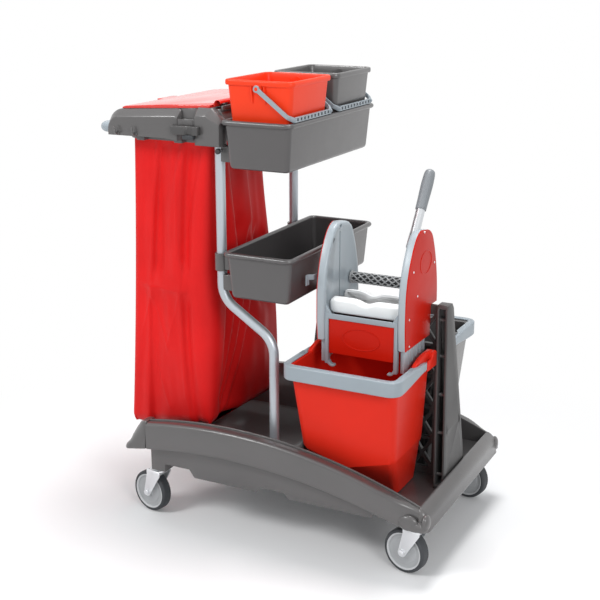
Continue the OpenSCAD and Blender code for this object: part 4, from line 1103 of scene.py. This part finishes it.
def fold_depth(side, u, t):
    """How far the cloth stands in from the flat side: folds, tucks at the ring, creases and wrinkles."""
    seed = SIDE_SEED[side]
    grow = blend_to(0, 1, (1 - t) / 0.05)
    sway = 0.03 * noise.noise(Vector((seed, t * 2.2, 0)))
    depth = 0
    for at_top, at_foot, deep, left, right, low, high in FOLDS[side]:
        away = u - sway - at_foot - (at_top - at_foot) * t
        window = blend_to(0, 1, (t - low) / FOLD_FADE) * blend_to(0, 1, (high - t) / FOLD_FADE)
        depth += deep * window * math.exp(-(away / (left if away < 0 else right)) ** 2)
    waves = (0.5 + 0.5 * math.sin(u * 19 + seed)) ** 3
    tucks = TUCK_DEPTH * blend_to(0, 1, (t - 0.76) / 0.2) * waves
    crease = CREASE_SHARE[side] * sum(crease_depth(u, t, *line) for line in CREASES)
    wide = noise.noise(Vector((seed + u * 4, t * 2.6, 1))) * 5
    fine = noise.noise(Vector((seed + u * 9, t * 6, 9))) * 2
    belly = BELLY * math.sin(math.pi * u) * math.sin(math.pi * t)
    return grow * (depth + tucks + crease + wide + fine) - belly


print(sum(len(folds) for folds in FOLDS.values()), "folds and", len(CREASES), "creases")

# %% [markdown]
# The levels are stacked from the foot up. The face that closes the mouth is deleted, and a thin wall is
# given to the cloth inwards, so the outside keeps its place.

# %% Bag
BAG_LEVELS, SIDE_POINTS, CORNER_POINTS = 150, 64, 12
CLOTH_T, MOUTH_ABOVE = 0.0012, 0.8


def bag_level(t):
    corners = [Vector(c) for c in bag_corners(t)]
    foot = max(0, 1 - t * 30) ** 2
    ring = []
    for k, side in enumerate(("near", "right", "far", "left")):
        a, b, c = corners[k], corners[(k + 1) % 4], corners[(k + 2) % 4]
        along, after = (b - a).normalized(), (c - b).normalized()
        inward = Vector((-along.y, along.x))
        first, last = corner_radius(k, t), corner_radius((k + 1) % 4, t)
        span = (b - a).length - first - last
        for i in range(SIDE_POINTS):
            u = i / (SIDE_POINTS - 1)
            ends = blend_to(0, 1, u * 7) * blend_to(0, 1, (1 - u) * 7)
            p = a + along * (first + span * u) + inward * (fold_depth(side, u, t) * ends + 11 * foot)
            ring.append((p.x, p.y, bag_floor(p.x) * (1 - t) + BAG_TOP * t))
        middle = b - along * last + after * last
        for i in range(1, CORNER_POINTS):
            turn = math.pi / 2 * i / CORNER_POINTS
            p = middle + last * (along * math.sin(turn) - after * math.cos(turn))
            p += (middle - p).normalized() * 7 * foot
            ring.append((p.x, p.y, bag_floor(p.x) * (1 - t) + BAG_TOP * t))
    return ring


bag = stack([bag_level(k / BAG_LEVELS) for k in range(BAG_LEVELS + 1)])
edit(bag)
bpy.ops.mesh.select_all(action="DESELECT")
mesh = bmesh.from_edit_mesh(bag.data)
for face in mesh.faces:
    face.select = len(face.verts) > 4 and face.calc_center_median().z > MOUTH_ABOVE
bpy.ops.mesh.delete(type="FACE")
bpy.ops.object.mode_set(mode="OBJECT")
cloth_area = sum(face.area for face in bag.data.polygons)
modify(bag, "SOLIDIFY", thickness=CLOTH_T, offset=-1)
smooth(bag, 80)
dress(bag, "bag_cloth", bag_red, "cart", "bag_cloth", "bag")
print("cloth area", round(cloth_area, 4), "square metres")

# %% [markdown]
# ## Mop station
# The divider is a lattice panel between two open columns. Its solid has every opening already, so a copy
# of it with small bevels is enough.

# %% Divider
from_cad("divider", deep_grey, "cart", "dark_plastic", 0.7)

# %% [markdown]
# The mop buckets are stacks again: the lower front is chamfered, with an edge that dips in the middle. A
# level of the stack gives its half width, its front, its height, its corner radius, its dip and its back.

# %% Mop buckets
STATION_X, MOP_BACK, MOP_Z, MOP_H, MOP_CORNER = 160, 29, 140.2, 298, 6


def mop_ring(half, front, z, r, sag=0, back=MOP_BACK):
    """One level of a bucket. The straight front, after the third corner, gets points of its own."""
    points = rounded(-half, half, -front, -back, r, MOP_CORNER)
    third = 3 * (MOP_CORNER + 1)
    middle = [(half * k / 6, -front) for k in range(-5, 6)]
    ring = []
    for x, y in points[:third] + middle + points[third:]:
        dip = sag * (1 - abs(x) / half) if y < 1 - front else 0
        ring.append((STATION_X + x, y, z - dip))
    return ring


def mop_bucket():
    z, top = MOP_Z, MOP_Z + MOP_H
    outside = [(90, 132, z, 14), (94, 136, z + 2.5, 14), (106, 190, z + 92, 15, 26),
               (110, 197, z + 100, 16, 30), (111, 199, z + 108, 16, 27), (121, 231, top - 34, 18),
               (122, 233, top - 11, 18)]
    rim = [(127, 242, top - 9.5, 20), (128, 243, top - 8, 20), (128, 243, top - 2, 20),
           (126.5, 241.5, top, 20), (121, 236, top, 18, 0, 31), (118.5, 229.5, top - 3, 16, 0, 32.5)]
    inside = [(117.5, 227.5, top - 34, 15, 0, 32.5), (107, 194, z + 108, 13, 26, 32.5),
              (90.5, 133, z + 6, 11, 0, 32.5), (86, 128, z + 3.5, 10, 0, 36)]
    return smooth(stack([mop_ring(*ring) for ring in outside + rim + inside]), 32)


print("a level of a mop bucket has", len(mop_ring(90, 132, MOP_Z, 14)), "points")

# %% [markdown]
# Beside the rim stand forked lugs, which hold the pins of the carrying handle. They are built up from
# slabs with soft edges: a block on the rim, two cheeks, and a web that joins the cheeks at the back. The
# far bucket is the mirrored near one in another colour.

# %% Lugs of the mop buckets
HINGE_Y, HINGE_Z, HINGE_X, HINGE_R, HINGE_L = -74, 426.2, 127, 4, 7
LUG_TOP = [(-32, 426), (-32, 446), (-40, 452), (-70, 453), (-100, 450), (-126, 443), (-132, 438),
           (-126, 428)]
LUG_BACK = [(-31.5, 415), (-31.5, 446), (-40, 452), (-55, 451), (-59.5, 446), (-61, 439)]
CHEEK = LUG_BACK + arc((HINGE_Y, HINGE_Z), 12, 92, 180, 8) + [(-86, 416)]
WEB = [(y, z - 0.7) for y, z in LUG_BACK] + [(-61, 415)]
LUG_LAYERS = [(LUG_TOP, 116.5, 127.8, 3), (CHEEK, 121, 128.4, 1.4), (WEB, 127, 134, 0.5),
              (CHEEK, 132.4, 137, 1.6)]
near_bucket = mop_bucket()
lugs = []
for end in (-1, 1):
    for outline, start, stop, soft in LUG_LAYERS:
        lugs.append(round_edges(side_slab(outline, STATION_X, end, start, stop), soft, 3))
    pin = [(0, 0), (HINGE_R, 0), (HINGE_R, end * HINGE_L), (0, end * HINGE_L)]
    lugs.append(turned(pin, place(STATION_X + end * HINGE_X, HINGE_Y, HINGE_Z), (1, 0, 0), 20))
near_bucket = smooth(join(near_bucket, *lugs), 32)
far_bucket = across(near_bucket)
dress(near_bucket, "mop_bucket_near_skin", bucket_red, "cart", "red_plastic", "mop_bucket_near")
dress(far_bucket, "mop_bucket_far_skin", dark_grey, "cart", "dark_plastic", "mop_bucket_far")

# %% [markdown]
# A carrying handle lies round the rim of each mop bucket like a collar. Its legs get lower towards the
# pins and end in a tongue between the cheeks of the lugs. Along the front a flange reaches in over the
# rim. A step of the stack gives the inset of the outer wall, the reach of the flange, the share of the
# height and the lift above that.

# %% Carrying handles
HANDLE_IN, HANDLE_OUT, HANDLE_FRONT, HANDLE_END = 128.3, 135.3, 251, 87
HANDLE_TOP, HANDLE_H, LEG_H, LEG_DROP = MOP_Z + MOP_H + 1, 30, 20, 2.5
HANDLE_R, HANDLE_R_IN = 27, 20
FLANGE, FLANGE_RISE, FLANGE_FROM, FLANGE_RUN = 7.8, 2.4, 132, 12
TONGUE_FROM, TONGUE_R, TONGUE_X = -96, 8, (129.2, 131.6)


def handle_path(half, front, r, legs=14):
    right = [(half, -HANDLE_END - (front - r - HANDLE_END) * k / legs) for k in range(legs)]
    path = right + arc((half - r, r - front), r, 0, -90, 8)
    return path + [(-x, y) for x, y in path[::-1]]


def handle_ring(inset, reach, part, lift):
    """A closed outline of the collar: outside wall, then inside wall, at a share of its height."""
    ring = []
    outside = handle_path(HANDLE_OUT - inset, HANDLE_FRONT - inset, HANDLE_R - inset)
    front_in = HANDLE_FRONT - HANDLE_OUT + HANDLE_IN
    inside = handle_path(HANDLE_IN - reach, front_in - reach, HANDLE_R_IN - reach)[::-1]
    for k, (x, y) in enumerate(outside + inside):
        flange = blend_to(0, 1, (-y - FLANGE_FROM) / FLANGE_RUN)
        if k >= len(outside):
            x += math.copysign(reach * (1 - flange), x)
        low = HANDLE_TOP - blend_to(LEG_H, HANDLE_H, (-y - HANDLE_END) / 140)
        high = HANDLE_TOP - blend_to(LEG_DROP, 0, (-y - HANDLE_END) / 24)
        rise = lift * flange if lift > 0 else lift
        ring.append((STATION_X + x, y, low + (high - low) * part + (rise if part else -lift)))
    return ring


COLLAR = [(1.4, 0, 0, 0), (0, 0, 0, -1.6), (0, 0, 1, -0.7), (0, FLANGE, 1, -0.7),
          (0.5, FLANGE + 0.8, 1, 1.0), (1.6, FLANGE, 1, 2.0), (3, FLANGE - 1, 1, FLANGE_RISE)]
TONGUE = ([(TONGUE_FROM, HINGE_Z - TONGUE_R), (TONGUE_FROM, HINGE_Z + TONGUE_R)]
          + arc((HINGE_Y, HINGE_Z), TONGUE_R, 90, -90, 12))
near_handle = stack([handle_ring(*step) for step in COLLAR])
for end in (-1, 1):
    near_handle = join(near_handle, side_slab(TONGUE[::-1], STATION_X, end, *TONGUE_X))
smooth(near_handle, 40)
for side, handle in (("near", near_handle), ("far", across(near_handle))):
    node = "bucket_handle_" + side
    dress(handle, node + "_skin", pale_grey, "handle_" + side, "pale_plastic", node)

# %% [markdown]
# ## Wringer
# Two bullet shaped casings carry the press. Each is a pale moulding with a red cover outside. Between
# them sit the white jaws, the roller with its lattice, and the lever on its crank. One outline of arcs
# serves the casings and the covers, and a function draws it in by a given depth.

# %% Casing outline
WRINGER_X, WRINGER_Z, FRONT_Y, WEB_HALF = 167, 541.3, -154, 5.8
CASING = ([(FRONT_Y + 4, WRINGER_Z - 66), (FRONT_Y, WRINGER_Z - 20)]
          + arc((FRONT_Y + 209, WRINGER_Z + 32), 209, 180, 141, 14)
          + arc((-70, WRINGER_Z + 133), 48, 141, 95, 8) + arc((-47, WRINGER_Z + 128), 48, 85, 26, 10)
          + arc((-297, WRINGER_Z + 4), 327, 26, 4, 10)
          + [(30, WRINGER_Z), (-WEB_HALF, WRINGER_Z), (-8, WRINGER_Z - 68)])


def drawn_in(outline, depth):
    """The outline, walked clockwise, moved inwards by a depth."""
    moved = []
    for a, b, c in zip(outline[-1:] + outline, outline, outline[1:] + outline[:1]):
        a, b, c = Vector(a), Vector(b), Vector(c)
        u, w = (b - a).normalized(), (c - b).normalized()
        n, m = Vector((u.y, -u.x)), Vector((w.y, -w.x))
        moved.append(tuple(b + (n + m) * depth / (1 + n.dot(m))))
    return moved


def casing_ring(end, inset, x):
    return [(WRINGER_X + end * x, y, z) for y, z in drawn_in(CASING, inset)]


print("casing outline with", len(CASING), "points")

# %% [markdown]
# A casing has soft edges towards the inside, a shallow panel there, and a slot with a hole at its top.
# Its outline is extruded inwards and drawn in ring by ring. The slot and the hole are cut with a
# boolean, and a ribbed foot reaches down into the bucket. The red cover outside is the same outline with
# a raised oval line, left blank.

# %% Casings and covers
CASING_STEPS = [(0, 101), (0, 91), (0.6, 88), (2, 85.6), (4, 84.4), (6.5, 84), (12, 84), (14.5, 85.6)]
SLOT_Y, SLOT_HALF, SLOT_LOW, SLOT_HIGH = -74, 2.4, WRINGER_Z + 6, WRINGER_Z + 160
HOLE_Z, HOLE_R, CUT_X = WRINGER_Z + 171, 3.8, (80, 89)
SLOT = rounded(SLOT_Y - SLOT_HALF, SLOT_Y + SLOT_HALF, SLOT_LOW, SLOT_HIGH, 2.2, 4)
HOLE = arc((SLOT_Y, HOLE_Z), HOLE_R, 0, 345, 23)
EYELET, EYELET_X = [(HOLE_R, -1.4), (7.2, -1.4), (6.6, 1.6), (5.4, 2.2), (HOLE_R, 1.2)], 85.6
FOOT = [(FRONT_Y + 14, WRINGER_Z - 60), (FRONT_Y + 14, WRINGER_Z - 118),
        (FRONT_Y + 26, WRINGER_Z - 118), (-20, WRINGER_Z - 100), (-20, WRINGER_Z - 60)]
FOOT_X, FOOT_RIB_X, FOOT_RIB_Y = (88, 97), (85.5, 99.5), (-118, -96, -74, -52, -32)
OVAL_X, OVAL_Y, OVAL_Z = 103.4, -47, WRINGER_Z + 106
COVER_STEPS = [(0.3, 101.1), (0.3, 102.6), (0.9, 103.3), (2, 103.5)]


def oval(half_long, half_high, steps=48):
    turns = [math.tau * k / steps for k in range(steps + 1)]
    return [(half_long * math.cos(a), half_high * math.sin(a)) for a in turns]


def cut(obj, tool):
    modify(obj, "BOOLEAN", operation="DIFFERENCE", object=tool, solver="EXACT")
    bpy.data.objects.remove(tool)
    return obj


for side, end in (("left", -1), ("right", 1)):
    casing = stack([casing_ring(end, inset, x) for inset, x in CASING_STEPS])
    cut(casing, side_slab(SLOT, WRINGER_X, end, *CUT_X))
    cut(casing, side_slab(HOLE, WRINGER_X, end, *CUT_X))
    eyelet = turned(EYELET, place(WRINGER_X + end * EYELET_X, SLOT_Y, HOLE_Z), (-end, 0, 0), 28)
    foot = [round_edges(side_slab(FOOT, WRINGER_X, end, *FOOT_X), 1)]
    for y in FOOT_RIB_Y:
        low = WRINGER_Z - 104 + (y - FOOT_RIB_Y[0]) * 0.1
        rib = rounded(y - 2, y + 2, low, WRINGER_Z - 62, 1, 2)
        foot.append(round_edges(side_slab(rib, WRINGER_X, end, *FOOT_RIB_X), 0.6))
    casing = smooth(join(casing, eyelet, *foot), 35)
    # The casings wear the paler copy of the blue grey, painted light against the shade inside them.
    dress(casing, f"casing_{side}_skin", casing_grey_painted_light, "wringer", "pale_plastic", "casing_" + side)
    cover = stack([casing_ring(end, inset, x) for inset, x in COVER_STEPS])
    line = [(WRINGER_X + end * OVAL_X, y + OVAL_Y, z + OVAL_Z) for y, z in oval(33, 25)]
    cover = smooth(join(cover, tube(line, 2.2, 8)), 35)
    dress(cover, f"cover_{side}_skin", cover_red, "wringer", "red_plastic", "cover_" + side)
from_cad("cover_screws", zinc_plate, "wringer", "zinc_steel", 0.4)

# %% [markdown]
# The front plate sits in a pale frame on two legs, which end in curls, and gussets brace its top. It
# carries another blank oval. The bars of the frame are a copy, to which curls and gussets are joined.

# %% Front plate and frame
PLATE_Y, PLATE_LOW, PLATE_HIGH, PLATE_HALF = -148, WRINGER_Z - 94, WRINGER_Z - 16, 76
PLATE_MIDDLE = (PLATE_LOW + PLATE_HIGH) / 2
CURL_X, CURL_Z, CURL_R_OUT, CURL_R_IN = 67, WRINGER_Z - 112, 12, 7
CURL_TURNS = {-1: (180, 300), 1: (0, -120)}
GUSSET_X, GUSSET_W, GUSSET_H = 84, 18, 28
panel = rounded(WRINGER_X - PLATE_HALF, WRINGER_X + PLATE_HALF, PLATE_LOW, PLATE_HIGH, 1.5, 3)
plate = round_edges(slab(panel, "Y", PLATE_Y, PLATE_Y + 5), 0.7)
line = [(WRINGER_X + x, PLATE_Y, PLATE_MIDDLE + z) for x, z in oval(43, 23)]
dress(smooth(join(plate, tube(line, 2.6, 8))), "front_plate_skin", cover_red, "wringer", "red_plastic",
      "front_plate")
fittings = []
for end, (start, stop) in CURL_TURNS.items():
    middle = (WRINGER_X + end * CURL_X, CURL_Z)
    curl = arc(middle, CURL_R_OUT, start, stop, 14) + arc(middle, CURL_R_IN, stop, start, 14)
    fittings.append(round_edges(slab(curl, "Y", PLATE_Y - 2.5, PLATE_Y + 9), 0.8))
for end in (-1, 1):
    x, z = WRINGER_X + end * GUSSET_X, PLATE_HIGH + 2
    corner = [(x, z), (x, z + GUSSET_H), (x - end * GUSSET_W, z)]
    fittings.append(round_edges(slab(corner, "Y", PLATE_Y - 2, PLATE_Y + 6), 0.8))
frame_bars = join(cad_copy("wringer_crossbar", 1), *fittings)
dress(smooth(frame_bars), "wringer_crossbar_skin", pale_grey, "wringer", "pale_plastic",
      "wringer_crossbar")

# %% [markdown]
# The catch on the left casing is a strap that leaves the cover and folds back at its end. Seen from above
# it is a path with a thickness, so two strips stood on edge make it.

# %% Catch hook
HOOK_PATH = [(66, -92), (58, -104), (56.5, -122), (50, -140), (42, -146)]
HOOK_TURN = [(40, -150), (41, -158)]
HOOK_T, HOOK_TOP, HOOK_LOW, HOOK_TURN_LOW = 2.6, 616, 604, 593


def strap(path, low, high):
    """A flat strip stood on edge along a path in plan."""
    one, other = [], []
    for i, (x, y) in enumerate(path):
        a, b = Vector(path[max(0, i - 1)]), Vector(path[min(len(path) - 1, i + 1)])
        way = (b - a).normalized()
        side = Vector((-way.y, way.x)) * HOOK_T / 2
        one.append((x + side.x, y + side.y))
        other.append((x - side.x, y - side.y))
    return round_edges(slab(one + other[::-1], "Z", low, high), 0.7)


hook = join(strap(HOOK_PATH + HOOK_TURN[:1], HOOK_LOW, HOOK_TOP),
            strap(HOOK_PATH[-1:] + HOOK_TURN, HOOK_TURN_LOW, HOOK_TOP))
dress(smooth(hook), "catch_hook_skin", pale_grey, "wringer", "pale_plastic", "catch_hook")

# %% [markdown]
# The jaws are white moulded pads on thin back plates, with a hollow in the top edge. The front jaw's back
# plate is a grey carrier in dark grey, which also paints the shade in the slot under its pad. A wide round
# on all edges makes the pads soft, and each jaw leans the way its solid does.

# %% Jaws
JAW_T, JAW_H, PAD_T, PAD_H, JAW_R = 12, 80, 24, 33, 9
HOLLOW, HOLLOW_WIDTH, HOLLOW_STEPS = 8, 17, 24
JAW_PIVOT, TRUNNION_R, TRUNNION_L = (-66, 487.3), 4.9, 100


def jaw_pad(x0, x1, height, y, z, lean, face):
    """A thin back plate with a thick pad along its upper part, bulging to the side that face gives."""
    left, right, base = x0 + JAW_R, x1 - JAW_R, height - PAD_H
    top = []
    for k in range(HOLLOW_STEPS + 1):
        x = right - (right - left) * k / HOLLOW_STEPS
        dip = HOLLOW * math.exp(-((x - (x0 + x1) / 2) / HOLLOW_WIDTH) ** 2)
        top.append((x, height - dip))
    outline = [(x0, 0), (x1, 0)] + arc((right, height - JAW_R), JAW_R, 0, 75, 5) + top
    outline += arc((left, height - JAW_R), JAW_R, 105, 180, 5)
    plate = round_edges(slab(outline, "Y", *sorted((0, -face * JAW_T / 2))), 2, 3, 50)
    bolster = arc((left, base + JAW_R), JAW_R, 180, 270, 5)
    bolster += arc((right, base + JAW_R), JAW_R, 270, 360, 5)
    bolster += [(x, z) for x, z in outline if z > base]
    low, high = sorted((-face * JAW_T / 2, face * (PAD_T - JAW_T / 2)))
    pad = round_edges(slab(bolster, "Y", low, high), 6, 5, 50)
    turn = (Matrix.Translation(place(0, y, z)) @ Matrix.Rotation(math.radians(lean), 4, "X")
            @ Matrix.Translation(-place(0, 0, 0)))
    for piece in (pad, plate):
        piece.data.transform(turn)
        smooth(piece, 45)
    return pad, plate


pad, plate = jaw_pad(WRINGER_X - 83, WRINGER_X + 83, JAW_H - 4, -106, JAW_PIVOT[1] + 4, 7, -1)
# A grey carrier made dark: it also paints the shade in the slot under the white pad.
dress(plate, "jaw_front_carrier_painted_shade", dark_grey, "wringer", "dark_plastic")
dress(pad, "jaw_front_skin", jaw_white, "wringer", "white_plastic", "jaw_front")
pad, plate = jaw_pad(WRINGER_X - 82, WRINGER_X + 54, JAW_H, *JAW_PIVOT, -13, 1)
rod = [(0, -TRUNNION_L), (TRUNNION_R, -TRUNNION_L), (TRUNNION_R, TRUNNION_L), (0, TRUNNION_L)]
trunnion = turned(rod, place(WRINGER_X, *JAW_PIVOT), (1, 0, 0), 24)
rear_jaw = smooth(join(pad, plate, trunnion), 45)
dress(rear_jaw, "jaw_rear_skin", jaw_white, "jaw", "white_plastic", "jaw_rear")

# %% [markdown]
# The roller is a dark core inside a grey lattice. Two sets of thin ribs wind round it in opposite ways
# and cross in diamonds, and a cuff closes each end. A wireframe of a tube would have square meshes, so
# each rib is a curve of its own. The journals of the core run in the casings.

# %% Press shaft
SHAFT_Y, SHAFT_Z, SHAFT_X0, SHAFT_X1, SHAFT_R = -17, 585.3, 84.5, 223.5, 13.2
CORE_R, JOURNAL_R, JOURNAL_END, CUFF_T = 9.4, 7.9, 100, 4
RIBS, RIB_TURNS, RIB_STEPS, RIB_D, RIB_SINK = 6, 1.35, 48, 2.9, 1.8
half_shaft = [(0, -JOURNAL_END), (JOURNAL_R, -JOURNAL_END), (JOURNAL_R, SHAFT_X0 - WRINGER_X),
              (CORE_R, SHAFT_X0 - WRINGER_X), (CORE_R, SHAFT_X1 - WRINGER_X),
              (JOURNAL_R, SHAFT_X1 - WRINGER_X), (JOURNAL_R, JOURNAL_END), (0, JOURNAL_END)]
shaft = smooth(turned(half_shaft, place(WRINGER_X, SHAFT_Y, SHAFT_Z), (1, 0, 0), 40))
dress(shaft, "press_shaft_core", roller_black, "lever", "black_plastic", "press_shaft")


def winding_rib(start, way):
    """One rib that winds round the shaft from a starting share of a turn."""
    path = []
    for i in range(RIB_STEPS + 1):
        t = i / RIB_STEPS
        a = math.tau * (start + way * RIB_TURNS * t)
        path.append((SHAFT_X0 + 1.5 + (SHAFT_X1 - SHAFT_X0 - 3) * t,
                     SHAFT_Y + (SHAFT_R - RIB_SINK) * math.cos(a),
                     SHAFT_Z + (SHAFT_R - RIB_SINK) * math.sin(a)))
    return tube(path, RIB_D, 8)


lattice = [winding_rib(k / RIBS, way) for way in (-1, 1) for k in range(RIBS)]
cuff = [(CORE_R, 0), (SHAFT_R + 1, 0.5), (SHAFT_R + 1, CUFF_T - 0.5), (CORE_R, CUFF_T)]
for x in (SHAFT_X0, SHAFT_X1 - CUFF_T):
    lattice.append(turned(cuff, place(x, SHAFT_Y, SHAFT_Z), (1, 0, 0), 40))
dress(smooth(join(*lattice), 40), "press_shaft_lattice", roller_grey, "lever", "dark_plastic")

# %% [markdown]
# The lever is a bright tube in a crank, with a pale grip that swells towards the middle and ends round.
# Tube and grip are turned about the lever's own line, and the crank is a copy of its solid.

# %% Lever
LEVER_X, CRANK_BEND, LEVER_LEAN = 234, (-37, 682.3), math.radians(35)
LEVER_R, LEVER_L, GRIP_FROM, GRIP_DEPTH = 10.2, 160, 78, 88.5
from_cad("lever_crank", lever_steel, "lever", "zinc_steel", 0.8)
lever_way = (0, math.sin(LEVER_LEAN), math.cos(LEVER_LEAN))
lever_foot = place(LEVER_X, *CRANK_BEND)
lever_profile = [(0, 0), (LEVER_R, 0), (LEVER_R, LEVER_L), (0, LEVER_L)]
lever = turned(lever_profile, lever_foot, lever_way, 40)
dress(smooth(lever), "lever_tube_skin", lever_steel, "lever", "zinc_steel", "lever_tube")
grip_outside = [(11.2, 0), (11.9, 0.8), (12.1, 4), (12.3, 20), (12.9, 40), (13.3, 56), (13.1, 68),
                (12.6, 78), (12, 86), (10.6, 91.6), (7.5, 94.8), (0, 96)]
grip_profile = [(LEVER_R, 0)] + grip_outside + [(0, GRIP_DEPTH), (LEVER_R, GRIP_DEPTH)]
grip_foot = lever_foot + Vector(lever_way) * GRIP_FROM * MM
grip = smooth(turned(grip_profile, grip_foot, lever_way, 40), 40)
dress(grip, "lever_grip_skin", grip_grey, "lever", "pale_plastic", "lever_grip")

# %% [markdown]
# ## Sizes
# The box round the visual model is printed. The visual model has to stay inside the imported one.

# %% Sizes
low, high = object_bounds()
print("visual", [round(v, 4) for v in (*low, *high)])
